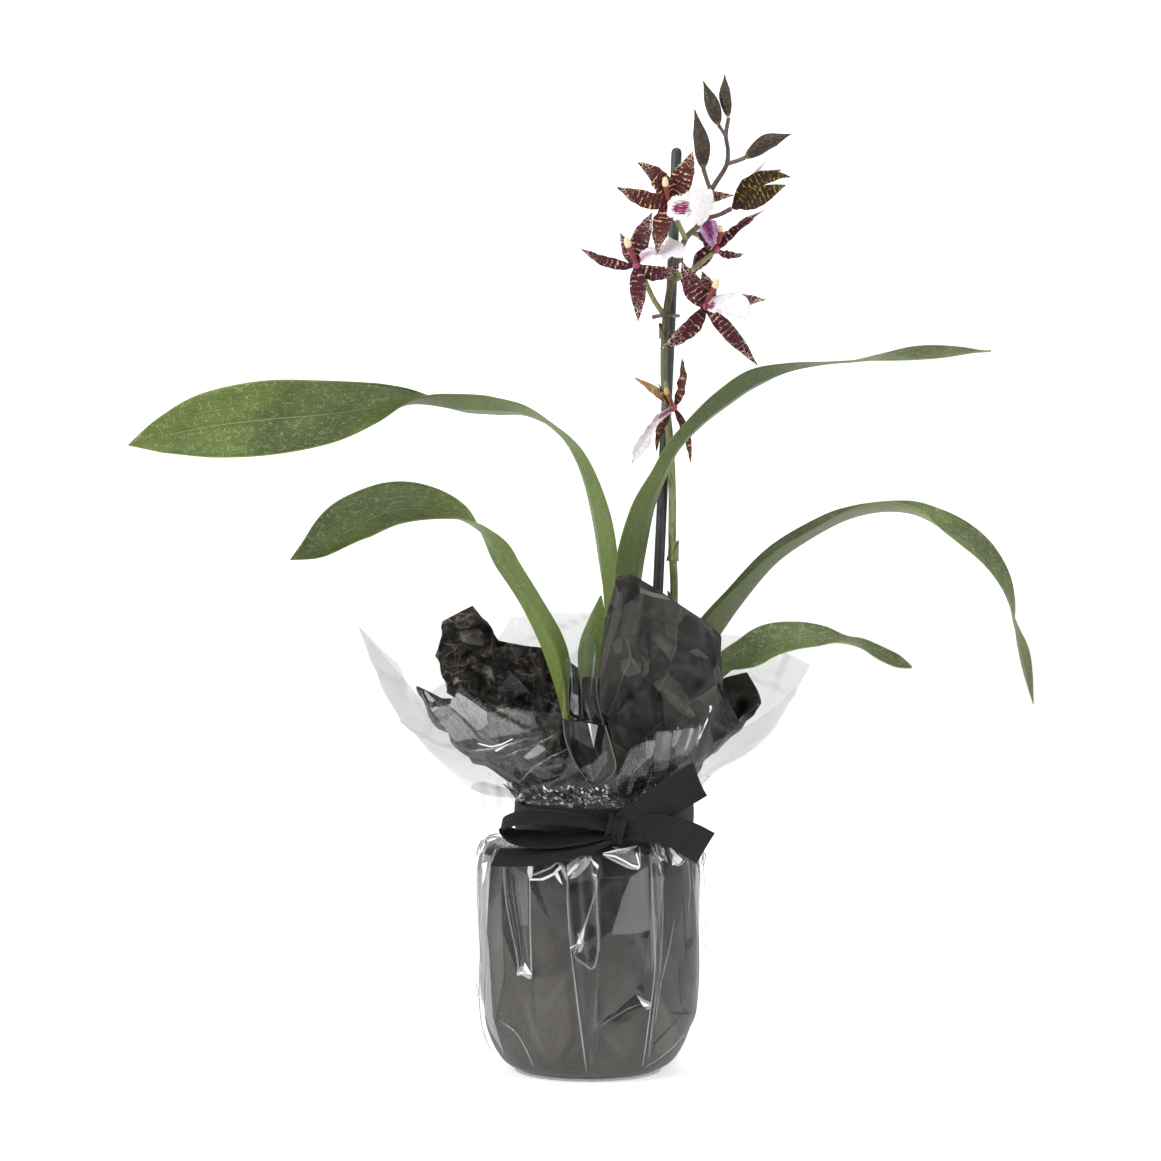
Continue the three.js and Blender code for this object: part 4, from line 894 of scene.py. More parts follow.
def budFinish(name, ground, marks, edge):
    # dark flesh with faint wavering green marks
    bud = Finish(name, Specular_IOR_Level=0.35, Sheen_Weight=0.1)
    point = bud.point()
    warp = bud.noise(point, 160, 3, 0.6)
    mottles = bud.noise(bud.stretched(point, 620, 620, 1300), 1.0, 3, 0.6, 0.8)
    colour = bud.mix(bud.fade(mottles, 0.5, 0.62), ground, marks)
    colour = bud.mix(bud.fade(warp, 0.5, 0.75) * 0.4, colour, "#3a2726")
    colour = bud.mix(bud.fade(bud.value("seam"), 0.6, 0.98) * 0.6, colour, edge)
    colour = bud.mix((1 - bud.fade(bud.value("along"), 0.0, 0.1)) * 0.6, colour, "#8a8a5c")
    bud.set(Base_Color=colour, Roughness=0.5 + warp * 0.15)
    bud.bump(mottles * 0.6 + warp * 0.4, 0.0003, 0.5)
    return bud.material


def makeBuds():
    form = budForm
    finish = budFinish("budSkin", "#30221f", "#555032", "#1f1715")
    for number, (name, (*ends, wide)) in enumerate(form["buds"].items()):
        foot, belly, tip = np.array(ends, float)
        rows = [[*foot + (belly - foot) * k, wide * size] for k, size in form["lower"]]
        rows += [[*belly + (tip - belly) * k, wide * size] for k, size in form["upper"]] + [[*tip, 0.3]]

        def lobed(part, turn, phase=number * 0.7):
            third = np.abs(np.sin((turn + phase) * 1.5))
            dip = np.exp(-(third / 0.16) ** 2) * np.sin(np.clip(part * 1.08, 0, 1) * math.pi) ** 0.5
            return 1 - form["groove"] * dip
        bud = tubePiece(name + "_skin", rows, form["sides"], form["steps"], finish, lobed)
        turn = np.zeros(len(bud.data.vertices), np.float32)
        bud.data.attributes["around"].data.foreach_get("value", turn)
        third = np.abs(np.sin((turn * 2 * math.pi + number * 0.7) * 1.5))
        seam = bud.data.attributes.new("seam", "FLOAT", "POINT")
        seam.data.foreach_set("value", np.exp(-(third / 0.12) ** 2).astype(np.float32))
        settle(bud, [name])
    print("buds set")


makeBuds()


flowerForm = {
    "faded": "tepal_e0",
    "tepal": {"steps": 46, "across": 12, "middle": 0.95, "edge": 0.35, "keel": 1.4},
    "lip": {"steps": 70, "across": 22, "middle": 0.8, "edge": 0.3, "keel": 1.5},
    "crinkle": {"fresh": 1.1, "spent": 1.8},
    "outline": [
        [0, 0.3], [0.08, 0.46], [0.2, 0.8], [0.34, 1], [0.5, 0.98], [0.66, 0.78], [0.8, 0.5], [0.9, 0.26],
        [1, 0.04]],
    "flowers": {
        "a": {
            "centre": [44.5, -21, 493.5],
            "tepals": [
                [26.5, -27, 516, 11.5, 20, 2, -4, 3], [14.7, -25, 502.5, 10, -16, 2, -4, -2.5],
                [57.5, -22, 522.5, 13.5, -14, 0.5, -3, -1], [37.4, -31, 465, 11.5, 24, -1, -3, 0],
                [81, -12, 498.5, 10, 10, 0, 3, 1]],
            "lip": [
                [43.5, -25.5, 490.5, 7, -10, 14], [47, -27.5, 490.5, 14, -8, 10],
                [51, -29, 490.5, 14, -6, 8], [55.5, -30, 491, 17, 0, 5], [60, -30.5, 491.5, 21, 4, 3],
                [64.5, -29, 491, 20.5, 6, 4], [68.5, -26.5, 490, 12, 8, 6]],
            "column": [
                [43.6, -24, 496, 1.6], [42.6, -26.5, 500.5, 1.5], [42, -28.5, 504.5, 1.9],
                [41.8, -29.5, 507.4, 1.3]],
        },
        "b": {
            "centre": [26, -17, 459],
            "tepals": [
                [-5.9, -26, 468.6, 7, -30, 0, 0, -3], [34.9, -16, 488.7, 11.5, -20, -1.5, -2, 0],
                [50.6, -16, 458.3, 9.5, 30, 0, -1, -4], [27, -22, 427.5, 9.5, 8, 0.5, -3, 0],
                [17, 4, 478, 9, 0, 0, 3, 1]],
            "lip": [
                [28.5, -21, 462.5, 5, -20, 14], [32.5, -24, 465, 8, -46, 12], [37, -26, 466, 9, -56, 8],
                [42, -27, 466.5, 16, -58, 5], [47.5, -27, 468, 20, -50, 5], [52.5, -25.5, 470, 13, -42, 8]],
            "column": [
                [25.3, -20, 461.7, 1.5], [23.1, -22.5, 466.6, 1.5], [21.1, -24, 471, 2],
                [20.2, -24.5, 474, 1.4]],
        },
        "c": {
            "centre": [65, -14, 436],
            "tepals": [
                [52, -17, 461, 13, 14, -1, -3, -1], [63.4, -4, 456, 11, -10, 2, 2, 0],
                [99.3, -14, 439.8, 9.5, -14, 0, 2, 1], [39.5, -18, 412, 10.5, -24, 3, -3, -1],
                [94.4, -20, 402.5, 9, 10, 1, -3, -0.5]],
            "lip": [
                [66.5, -18.5, 436, 6, -24, 14], [71, -20.5, 436.5, 13, -40, 10],
                [76, -22.5, 436.5, 15, -42, 8], [80, -24, 436.5, 17, -42, 5],
                [84.5, -24.5, 437, 20, -36, 5], [89.5, -23, 438, 13, -30, 8]],
            "column": [
                [66, -17.5, 439, 1.5], [68.4, -19.5, 443.5, 1.5], [70.6, -21, 448, 2],
                [71.5, -21.5, 451, 1.4]],
        },
        "d": {
            "centre": [72, 16, 469],
            "tepals": [
                [99.5, 12, 491.5, 5.5, -28, -0.5, 0, 1.5], [88.5, 24, 467, 5, 30, 0, 0, -2],
                [58.5, 12, 477, 10, 24, 0, -3, 3], [59, 17, 454.5, 10, -20, -1, 0, 3],
                [83, 34, 482, 7, 0, 0, 3, 1]],
            "lip": [
                [70.5, 11.5, 471.5, 4, 8, 14], [69, 10, 475, 7, 6, 10], [68, 9.5, 479, 10, 4, 8],
                [66.8, 9.5, 483, 11, 2, 8], [66, 10, 486.5, 7, 0, 8]],
            "column": [
                [73, 12.5, 472.5, 1.3], [74, 11, 476.5, 1.4], [74.4, 10.5, 480, 1.7],
                [74.2, 10.5, 482.4, 1.1]],
        },
        "e": {
            "centre": [47, -13.5, 379],
            "tepals": [
                [24.5, -19, 396, 5, 10, 2, -2, 0], [52, -14, 407, 5.5, -20, 2.4, 0, -2],
                [38, -17, 393, 4, 30, -1, -2, 1], [57, -9, 347.5, 5, 16, 2, 2, 3],
                [37.5, -14, 354, 5, -10, -2, -1, 2]],
            "lip": [
                [45.4, -15.7, 377.6, 3, 4, 16], [39, -19.5, 373, 5, 10, 30], [34.5, -21, 367, 5, 16, 34],
                [30.5, -22, 359, 8.5, 20, 30], [26, -22.5, 352, 6, 22, 26],
                [23.5, -22.5, 347.5, 1.6, 22, 20]],
            "column": [
                [46, -17, 381, 1.2], [44.5, -19, 384.5, 1.2], [43, -20, 388, 1.4], [42.6, -20.4, 390, 0.9]],
        },
    },
}

flowerTones = {
    # name, flesh dark and light, bars, how many a centimetre, spots, where the bars end
    "tepals": {
        "warm": ["tepalWarm", "#3a1013", "#5f2125", "#d6b981", 3.7, "#e0ccae", 0.5],
        "fresh": ["tepalMaroon", "#330c18", "#5c1e2f", "#dfc49e", 3.4, "#ead6c8", 0.34],
        "spent": ["tepalSpent", "#3c211f", "#653f36", "#b98a5a", 3.0, "#c9a27c", 0.6],
        "faded": ["tepalFaded", "#8a6544", "#b8996c", "#dcc9a0", 2.2, "#c9a27c", 0.7]},
    # name, petal, shade, blotch, where the blotch lies and how long it is, how streaky the claw is
    "lips": {
        "a": ["lipWhite", "#eceaec", "#d9d5da", "#7c1046", 0.3, 0.2, 0.0],
        "b": ["lipWhiteFold", "#e6e2e6", "#d2cad4", "#b889ae", 0.05, 0.25, 0.25],
        "c": ["lipWhiteStreak", "#e9e6e9", "#d6d1d7", "#7a2a55", 0.06, 0.12, 0.3],
        "d": ["lipViolet", "#d6b4d6", "#a9689f", "#6f1f5e", 1.0, 0.9, 0.5],
        "e": ["lipSpent", "#dcd8da", "#c2b9bd", "#9c4a78", 0.05, 0.2, 0.5]},
    "columns": {"heart": ["heartRose", "#8d3555", "#a8506a"], "fresh": ["columnRed", "#87352f", "#e2d3ac"],
                "spent": ["columnSpent", "#8a5a40", "#c9a878"]}}


def tepalFinish(name, dark, rose, bars, perCm, spots, reach):
    # maroon flesh crossed by pale wavering bars, breaking into spots toward the tip
    tepal = Finish(name, Specular_IOR_Level=0.22)
    along = tepal.value("along")
    size = tepal.math("ABSOLUTE", tepal.value("across"))
    seed = tepal.value("shift")
    offset = tepal.make("CombineXYZ", {}, {0: seed * 7.3, 1: seed * 3.1, 2: seed * 11.7})
    spot = tepal.shift(tepal.flat(), offset)
    wobble = tepal.noise(spot, 7.0, 2.0, output="Color")
    bent = tepal.shift(spot, tepal.scale(wobble, 0.16))
    # wavering bars across the blade, tapering and broken
    patch = tepal.noise(tepal.stretched(spot, 3.4, 5.0, 1), 1.0, 2)
    ring = tepal.math("PINGPONG", tepal.axis(bent, "Y") * perCm + patch * 1.5, 0.5)
    barWidth = tepal.fade(patch, 0.4, 0.68, -0.02, 0.16) * (1 - tepal.fade(along, reach, reach + 0.25))
    barMask = 1 - tepal.fade(ring - barWidth, -0.03, 0.04)
    # a net of pale lines between maroon spots, wider toward the tip and the margins
    net = tepal.cells(tepal.stretched(bent, 4.6, 5.6, 1), 1.0, "DISTANCE_TO_EDGE")
    netWidth = tepal.fade(along, reach - 0.15, 0.95, -0.07, 0.03) + tepal.fade(size, 0.5, 1.0) * 0.04
    netWidth = netWidth + (tepal.noise(spot, 4.0, 1) - 0.5) * 0.12
    pale = tepal.math("MAXIMUM", barMask, 1 - tepal.fade(net - netWidth, -0.01, 0.04))
    pale = pale * tepal.fade(along, 0.06, 0.2)
    cloud = tepal.noise(spot, 12.0, 3)
    line = tepal.mix(tepal.fade(along, 0.3, 0.9), bars, spots)
    colour = tepal.mix(pale * 0.92, tepal.mix(tepal.fade(cloud, 0.35, 0.7), dark, rose), line)
    colour = tepal.mix((1 - tepal.fade(size, 0.0, 0.05)) * 0.35, colour, dark)
    tepal.set(Base_Color=tepal.mix(tepal.value("under") * 0.3, colour, "#6e5244"),
              Roughness=0.44 + cloud * 0.14)
    tepal.bump(pale * 0.5 + cloud * 0.5 - (1 - tepal.fade(size, 0.0, 0.07)) * 0.6, 0.0003, 0.6)
    return tepal.material


def lipFinish(name, petal, shade, blotch, centre, spread, streak):
    # white crisp petal with a soft-edged blotch and fine streaks near its claw
    lip = Finish(name, Specular_IOR_Level=0.25, Sheen_Weight=0.1)
    flat = lip.flat()
    along = lip.value("along")
    across = lip.value("across")
    cloud = lip.noise(flat, 5.0, 3, 0.6)
    fibres = lip.noise(lip.stretched(flat, 22, 2, 1), 1.0, 3, 0.55, 0.2)
    away = (along - centre) * (1 / spread)
    away = away * away + across * across * 3.0 + (cloud - 0.5) * 2.6 + (fibres - 0.5) * 5.0
    colour = lip.mix(lip.fade(cloud, 0.35, 0.75), petal, shade)
    colour = lip.mix(lip.fade(fibres, 0.5, 0.7) * 0.35, colour, shade)
    colour = lip.mix(lip.fade(fibres, 0.5, 0.58) * (1 - lip.fade(along, 0.4, 0.75)) * streak, colour, blotch)
    mark = (1 - lip.fade(away, 0.6, 1.1)) * lip.fade(fibres, 0.66, 0.56, 0.3, 1.0)
    lip.set(Base_Color=lip.mix(mark, colour, blotch), Roughness=0.5 + cloud * 0.12)
    lip.bump(fibres * 0.7 + cloud * 0.3, 0.0002, 0.3)
    return lip.material


def columnFinish(name, body, cap):
    column = Finish(name, Specular_IOR_Level=0.45)
    cloud = column.noise(column.point(), 260, 3)
    change = column.fade(column.value("along") + (cloud - 0.5) * 0.12, 0.62, 0.7)
    colour = column.mix(column.fade(cloud, 0.35, 0.65), body, "#762433")
    column.set(Base_Color=column.mix(change, colour, cap), Roughness=0.4 + cloud * 0.15)
    column.bump(cloud, 0.0003, 0.5)
    return column.material


def tepalPiece(name, centre, tepal, seed, crinkle, shift, deep, material):
    # a sepal or petal from the flower's centre to its own tip, bowed on the way
    *tip, width, roll, bowX, bowY, bowZ = tepal
    centre, tip, bow = (np.array(spot, float) for spot in (centre, tip, [bowX, bowY, bowZ]))
    rows = [[*centre + (tip - centre) * k + bow * (4 * k * (1 - k)), width, roll, deep[0] - deep[1] * k]
            for k in np.linspace(0, 1, 9)]

    def ripple(part, spread):
        left, right = (drift(part[:, 0], 12, seed * 5 + k)[:, None] for k in (1, 2))
        edge = np.abs(spread) ** 2
        return crinkle * edge * (left * (spread > 0) + right * (spread < 0)) * np.sin(part * math.pi) ** 0.5
    shape = {**flowerForm["tepal"], "ripple": ripple,
             "outline": lambda part: np.interp(part, *np.transpose(flowerForm["outline"]))}
    return bladePiece(name, rows, shape, {"shift": shift}, material)


def makeFlowers():
    skins, lips, columns = (
        {name: make(*row) for name, row in flowerTones[kind].items()}
        for kind, make in (("tepals", tepalFinish), ("lips", lipFinish), ("columns", columnFinish)))
    for number, (name, flower) in enumerate(flowerForm["flowers"].items()):
        state = "spent" if name == "e" else "fresh"
        parts = []
        for count, tepal in enumerate(flower["tepals"]):
            seed = number * 10 + count + 1
            label = "tepal_" + name + str(count)
            skin = skins["warm" if name == "a" else "faded" if label == flowerForm["faded"] else state]
            parts.append(tepalPiece(label, flower["centre"], tepal, seed, flowerForm["crinkle"][state],
                                    seed * 0.37, (12, 8), skin))
        x, y, z = flower["centre"]
        parts.append(tubePiece("heart_" + name, [[x, y + 2.4, z, 1.2], [x, y + 1, z, 2.3], [x, y - 1, z, 2.4],
                                                 [x, y - 2.6, z, 1.0]], 20, 12, columns["heart"]))
        settle(mergePieces("flower_" + name + "_star", parts), ["flower_" + name + "_tepals"])

        def frill(part, spread, seed=number):
            edge = np.abs(spread) ** 4 * 0.75
            bend = np.sin(part * 34 + seed + spread * 2) * 0.9
            bend = bend + drift(part[:, 0], 14, seed + 60)[:, None] * 1.1
            return edge * bend * np.minimum(part * 2.4, 1) * (0.7 if seed == 4 else 1)

        def edgeCut(part, spread, seed=number):
            return 1 + 0.05 * np.abs(spread) ** 6 * np.sin(part * 70 + seed)

        def rounded(part):
            return np.minimum(1, np.sqrt(np.clip((1 - part) * 7, 0.004, 1)))
        shape = {**flowerForm["lip"], "ripple": frill, "frill": edgeCut, "outline": rounded}
        lip = bladePiece("flower_" + name + "_petal", flower["lip"], shape, {}, lips[name])
        settle(lip, ["flower_" + name + "_lip"])
        column = tubePiece("flower_" + name + "_post", flower["column"], 24, 26, columns[state])
        settle(column, ["flower_" + name + "_column"])
    print("flowers opened")


makeFlowers()


def makeOpeningBud():
    opening = budForm["opening"]
    finish = tepalFinish("budOpening", "#2c1a12", "#47301d", "#a29a42", 4.2, "#b3ab58", 0.8)
    wisp = lipFinish("wispWhite", "#eeeae6", "#dcd6d2", "#d8c9cf", 0.05, 0.2, 0.3)
    parts = [tepalPiece("sepal" + str(count), opening["centre"], sepal, count + 80, 0.7, count * 0.4, (34, 0),
                        wisp if count == 3 else finish) for count, sepal in enumerate(opening["sepals"])]
    x, y, z = opening["centre"]
    heart = [[x - 1.6, y, z - 0.8, 1], [x, y, z, 2.4], [x + 3, y - 0.6, z + 1.6, 2.6],
             [x + 7, y - 1, z + 4, 1.2]]
    parts.append(tubePiece("bud_heart", heart, 24, 16, finish))
    settle(mergePieces("bud_opening_sepals", parts), ["bud_opening"])


makeOpeningBud()


neckX = 8
neckHigh = 155
# folds of the tissue as they lie across its front: from x, height to x, height, half width, how proud
tissueFolds = [
    [12, 276, 6, 218, 9, 4.2], [31, 274, 37, 204, 11, -5], [20, 248, 23, 236, 7, 3],
    [54, 262, 62, 214, 12, 3.6], [44, 252, 68, 238, 8, -2.6], [42, 222, 52, 206, 7, 3.2],
    [45, 214, 60, 208, 6, -2.6], [22, 226, 34, 204, 8, 2.8], [8, 206, 30, 196, 8, -2.6],
    [-84, 236, -60, 222, 7, 3.4], [-72, 250, -66, 214, 8, -3.2], [-58, 236, -30, 226, 7, 3.4],
    [-92, 206, -70, 196, 9, 3.6], [-66, 202, -44, 184, 8, -3.4], [-50, 206, -20, 190, 8, 3.4],
    [-88, 222, -76, 200, 7, -3], [-38, 184, -16, 176, 6, -2.8], [-60, 186, -36, 172, 7, 3],
    [72, 222, 86, 206, 8, 3], [66, 204, 84, 196, 7, -2.8], [78, 236, 90, 222, 6, 2.4]]
wrapForm = {
    "columns": 288, "bodyRows": 84, "flareRows": 56,
    "tissueBody": [
        [40.5, 1.3, -1], [48.6, 6, -1], [56.6, 20.2, -1], [61.1, 37.5, 0], [62.2, 78, 0], [62.2, 119, 0],
        [59.6, 129, 2], [46.2, 137.4, neckX], [45.4, neckHigh + 1.2, neckX]],
    "filmBody": [
        [42, 0, -1], [51, 4, -1], [59.5, 19, -1], [64, 37, 0], [65, 78, 0], [65, 121, 0], [63, 132, 2],
        [49.3, 137.6, neckX], [48.5, neckHigh + 1, neckX]],
    # angle about the neck, then radius and height of three points up to the torn rim
    "tissueGuides": [
        [0, 54, 172, 68, 187, 91, 209], [15, 52, 172, 66, 192, 86, 226], [30, 50, 175, 57, 195, 66, 219],
        [60, 48, 175, 52, 195, 56, 214], [90, 47, 175, 50, 195, 52, 215], [120, 48, 176, 53, 205, 58, 237],
        [135, 50, 178, 60, 213, 66, 240], [142.5, 51, 179, 66, 218, 77, 243],
        [150, 52, 180, 72, 221, 88, 263.5], [157.5, 53.5, 178, 77, 217, 101, 255],
        [165, 55, 177, 78, 208, 99, 237], [172.5, 55.5, 174, 73, 192, 88, 212],
        [180, 56.5, 171, 74, 183, 90, 202], [187.5, 59, 169, 84, 182, 108, 221],
        [202.5, 58, 169, 82, 184, 99, 216], [217.5, 56, 169, 74, 186, 86, 214],
        [225, 54.5, 169, 69, 188, 78, 213], [240, 51, 170, 59, 190, 62, 209],
        [255, 48, 170, 51, 188, 52, 203], [262.5, 46.5, 168, 48, 180, 49, 202],
        [270, 46, 175, 49, 217, 51, 262], [277.5, 47, 178, 51, 228, 51.5, 285],
        [285, 47.5, 178, 52, 230, 54, 287], [300, 48, 178, 56, 226, 59.5, 278],
        [322.5, 50, 178, 62, 218, 73, 259], [330, 51, 175, 64, 211, 76, 251],
        [337.5, 52, 170, 63, 194, 72, 220], [345, 52.5, 169, 63, 183, 80, 200],
        [352.5, 53, 170, 66, 185, 90, 207]],
    "filmGuides": [
        [0, 60, 168, 92, 190, 118, 232], [15, 57, 169, 84, 200, 100, 241],
        [22.5, 57.5, 170, 78, 204, 92, 246], [30, 57, 170, 71, 206, 81, 247],
        [45, 54, 172, 62, 207, 67, 257], [90, 53, 172, 58, 207, 63, 258], [120, 55, 172, 64, 207, 69, 259],
        [135, 57, 172, 70, 206, 76, 256], [142.5, 58, 172, 77, 202, 88, 230],
        [150, 60, 170, 84, 196, 100, 221], [165, 63, 168, 90, 188, 108, 212],
        [180, 70, 164, 96, 186, 112, 216], [187.5, 74, 163, 106, 192, 117, 233],
        [195, 78, 163, 121, 206, 143.5, 258], [202.5, 72, 163, 100, 188, 108, 212],
        [210, 67, 164, 93, 184, 101, 214], [217.5, 65, 164, 88, 184, 101, 225],
        [225, 62, 164, 82, 184, 92, 213], [240, 58, 164, 70, 182, 74, 198],
        [246, 56, 165, 60, 190, 62, 222], [249, 54, 166, 57, 204, 59.5, 240],
        [256, 53.5, 168, 57, 208, 59, 247], [262.5, 53, 168, 56, 210, 57, 256],
        [266, 52.5, 167, 55, 200, 57, 236], [269, 52, 166, 54.5, 184, 57, 204],
        [273, 51.5, 165, 54, 174, 56, 180], [277.5, 51.5, 164, 53.5, 170, 55, 174],
        [284, 52, 165, 57, 178, 60, 191], [295.5, 53, 165, 59.5, 179, 63, 195.5],
        [296.5, 53, 165, 59.5, 180, 63, 199.7], [305, 53.5, 165, 61, 180, 66, 200],
        [316, 54.5, 166, 65, 181, 74, 202], [319, 55, 166, 66, 183, 77, 211],
        [321, 55, 166, 66.5, 180, 78, 192], [329, 57, 167, 71, 182, 84, 198],
        [337.5, 58, 167, 76, 180, 90, 202], [345, 59, 168, 83, 184, 102, 212]],
    "bottomRings": 5, "facets": 13, "facetDepth": 2,
    # creases are folded at random: how wide, long and deep they are, in millimetres
    "tissue": {
        "placed": tissueFolds,
        "seed": 11, "creases": 420, "width": [2.6, 9], "length": [6, 26], "depth": [0.9, 3.6], "body": 0.12,
        "flare": 1, "pleats": 64, "pleatDepth": 1.5, "thickness": 0.22, "folds": 3,
        "calm": [262, 334, 0.45], "busy": [118, 200, 1.15],
    },
    "film": {
        "placed": [],
        "seed": 23, "creases": 110, "width": [3, 12], "length": [14, 50], "depth": [0.3, 1.5], "body": 0.45,
        "flare": 0.9, "pleats": 46, "pleatDepth": 2.2, "thickness": 0.12, "folds": 2.4,
        "calm": [262, 334, 0.8], "busy": [200, 262, 1.3],
    },
}


def creaseField(around, up, form):
    # straight sharp creases at random over a sheet given in millimetres; returns height and sharpness
    random = np.random.default_rng(form["seed"])
    total, deepest = around.max(), form["depth"][1]
    height, sharp = np.zeros_like(around), np.zeros_like(around)
    for _ in range(form["creases"]):
        x, y = random.uniform(0, total), random.uniform(up.min(), up.max())
        turn = random.uniform(0, math.pi)
        wide = random.uniform(*form["width"])
        long = random.uniform(*form["length"])
        deep = random.uniform(*form["depth"]) * random.choice([-1, 1])
        dx = (around - x + total / 2) % total - total / 2
        dy = up - y
        off = np.abs(-dx * math.sin(turn) + dy * math.cos(turn))
        run = dx * math.cos(turn) + dy * math.sin(turn)
        reach = np.exp(-(run / long) ** 4)
        height += deep * np.maximum(1 - off / wide, 0) * reach
        sharp += np.exp(-(off / 1.7) ** 2) * reach * abs(deep) / deepest
    return height, np.clip(sharp, 0, 1)


def placedFolds(points, folds):
    # how far every point of a sheet's front is raised by the placed folds
    x, z = points[..., 0], points[..., 2]
    front = fade(-points[..., 1], 5, 20)
    height = np.zeros_like(x)
    for x0, z0, x1, z1, wide, proud in folds:
        long = math.hypot(x1 - x0, z1 - z0)
        ux, uz = (x1 - x0) / long, (z1 - z0) / long
        run = (x - x0) * ux + (z - z0) * uz - long / 2
        off = np.abs(-(x - x0) * uz + (z - z0) * ux)
        reach = np.exp(-(run / (long * 0.6)) ** 4)
        shown = 1 - front if z0 > 215 and x0 < -20 else front
        height += proud * np.maximum(1 - off / wide, 0) * reach * shown
    return height


def ringNoise(turn, count, seed):
    # a crisp random line round the neck, from -1 to 1
    random = np.random.default_rng(seed)
    marks = np.sort(random.uniform(0, 1, count))
    levels = random.uniform(-1, 1, count)
    marks = np.concatenate([[marks[-1] - 1], marks, [marks[0] + 1]])
    return np.interp(turn % 1.0, marks, np.concatenate([[levels[-1]], levels, [levels[0]]]))


def wrapSurface(body, guides, form):
    columns, bodyRows, flareRows = wrapForm["columns"], wrapForm["bodyRows"], wrapForm["flareRows"]
    turn = np.arange(columns)[None, :] / columns
    table = np.array(guides + [[360, *guides[0][1:]]], float)
    knots = np.stack([np.interp(turn[0] * 360, table[:, 0], table[:, i]) for i in range(1, 7)], axis=1)
    bodyCurve = throughPoints(body, np.linspace(0, 1, bodyRows))
    flare = np.zeros((flareRows, columns, 3))
    for j, knot in enumerate(knots):
        line = [body[-1][:2], *knot.reshape(3, 2)]
        flare[:, j, :2] = throughPoints(line, np.linspace(0, 1, flareRows + 1)[1:])
    flare[..., 2] = neckX
    whole = np.vstack([np.repeat(bodyCurve[:, None, :], columns, axis=1), flare])
    radius, height, middle = whole[..., 0], whole[..., 1], whole[..., 2]
    inFlare = np.clip((np.arange(len(whole)) - bodyRows) / flareRows, 0, 1)[:, None] + 0 * height
    isFlare = inFlare > 0
    # gathered pleats fan out from the neck, above and below it
    slant = turn + 0.004 * np.sin(height / 9.0)
    count, seed = form["pleats"], form["seed"]
    pleats = ringNoise(slant, count, seed) + 0.5 * ringNoise(slant, count * 2, seed + 1)
    fromNeck = np.abs(height - 146)
    gathered = np.exp(-((fromNeck - 15) / 11) ** 2)
    neckFree = fade(fromNeck, 8.5, 13)
    # long soft folds
    folds = ringNoise(turn + 0.02 * np.sin(height / 31 + seed), 15, seed + 5)
    soft = form["folds"] * folds * np.where(isFlare, np.sin(np.clip(inFlare * 1.3, 0, 1) * math.pi) * 0.9, 0)
    # flat facets where the sheet is drawn tight down the pot
    facets = ringNoise(slant, wrapForm["facets"], 20)
    bodyFold = wrapForm["facetDepth"] * facets * fade(height, 2, 20) * (1 - fade(height, 118, 134))
    angle = turn * 2 * math.pi + 0 * height
    crumple, sharp = creaseField(turn * 2 * math.pi * 66 + 0 * height, height + inFlare * 40, form)
    amount = np.where(isFlare, form["flare"] * fade(inFlare, 0.0, 0.25), form["body"] * fade(height, 4, 26))
    degrees = turn * 360 + 0 * height
    for low, high, size in (form["calm"], form["busy"]):
        within = fade(degrees, low - 6, low + 6) * (1 - fade(degrees, high - 6, high + 6))
        amount = amount * (1 + (size - 1) * within * isFlare)
    amount = amount * fade(fromNeck, 9, 16)
    radius = radius + pleats * (form["pleatDepth"] * gathered * neckFree) + soft
    radius = radius + np.where(isFlare, 0, bodyFold)
    points = roundAbout(radius, height, angle, middle)
    across = np.roll(points, -1, axis=1) - np.roll(points, 1, axis=1)
    normal = unit(np.cross(across, np.gradient(points, axis=0)))
    raised = crumple * amount + placedFolds(points, form["placed"]) * fade(fromNeck, 12, 26)
    points = points + normal * raised[..., None]
    # creases and gathers are marked to go white, partly the sheet's own whitening and partly a painted
    # highlight
    whiten = np.clip(sharp * np.clip(amount, 0, 1) + 0.35 * np.abs(pleats) * gathered * neckFree, 0, 1)
    # painted shade: points lying lower than those around them are marked to go darker
    nearby = sum(np.roll(np.roll(raised, i, axis=0), j, axis=1) for i in (-5, 0, 5) for j in (-5, 0, 5)) / 9
    low, high, _ = form["busy"]
    crushed = fade(degrees, low - 8, low + 4) * (1 - fade(degrees, high + 30, high + 60)) * isFlare
    return points, {"crease": whiten, "flare": inFlare, "crushed": crushed,
                    "hollow": np.clip((nearby - raised) / 2.2, 0, 1)}


def wrapPiece(name, body, guides, form, material):
    points, values = wrapSurface(body, guides, form)
    rows, columns = points.shape[:2]
    rings = wrapForm["bottomRings"]
    foot = points[0]
    centre = foot.mean(axis=0)
    bottoms = [centre + (foot - centre) * (i / rings) for i in range(1, rings)]
    count = rows + rings - 1
    faces = [(0, 1 + (j + 1) % columns, 1 + j) for j in range(columns)]
    faces += gridFaces(count, columns, closed=True, start=1)
    head = np.zeros(1 + (rings - 1) * columns)
    data = {key: np.concatenate([head, value.ravel()]) for key, value in values.items()}
    uv = np.column_stack([np.tile(np.arange(columns) / columns * 41, count),
                          np.repeat(np.arange(count) * 0.25, columns)])
    sheet = makePiece(name, np.vstack([centre[None, :], *bottoms, points.reshape(-1, 3)]), faces, data,
                      np.vstack([[0, 0], uv]), material)
    wall = sheet.modifiers.new("wall", "SOLIDIFY")
    wall.thickness = form["thickness"] * mm
    wall.offset = -1
    return sheet


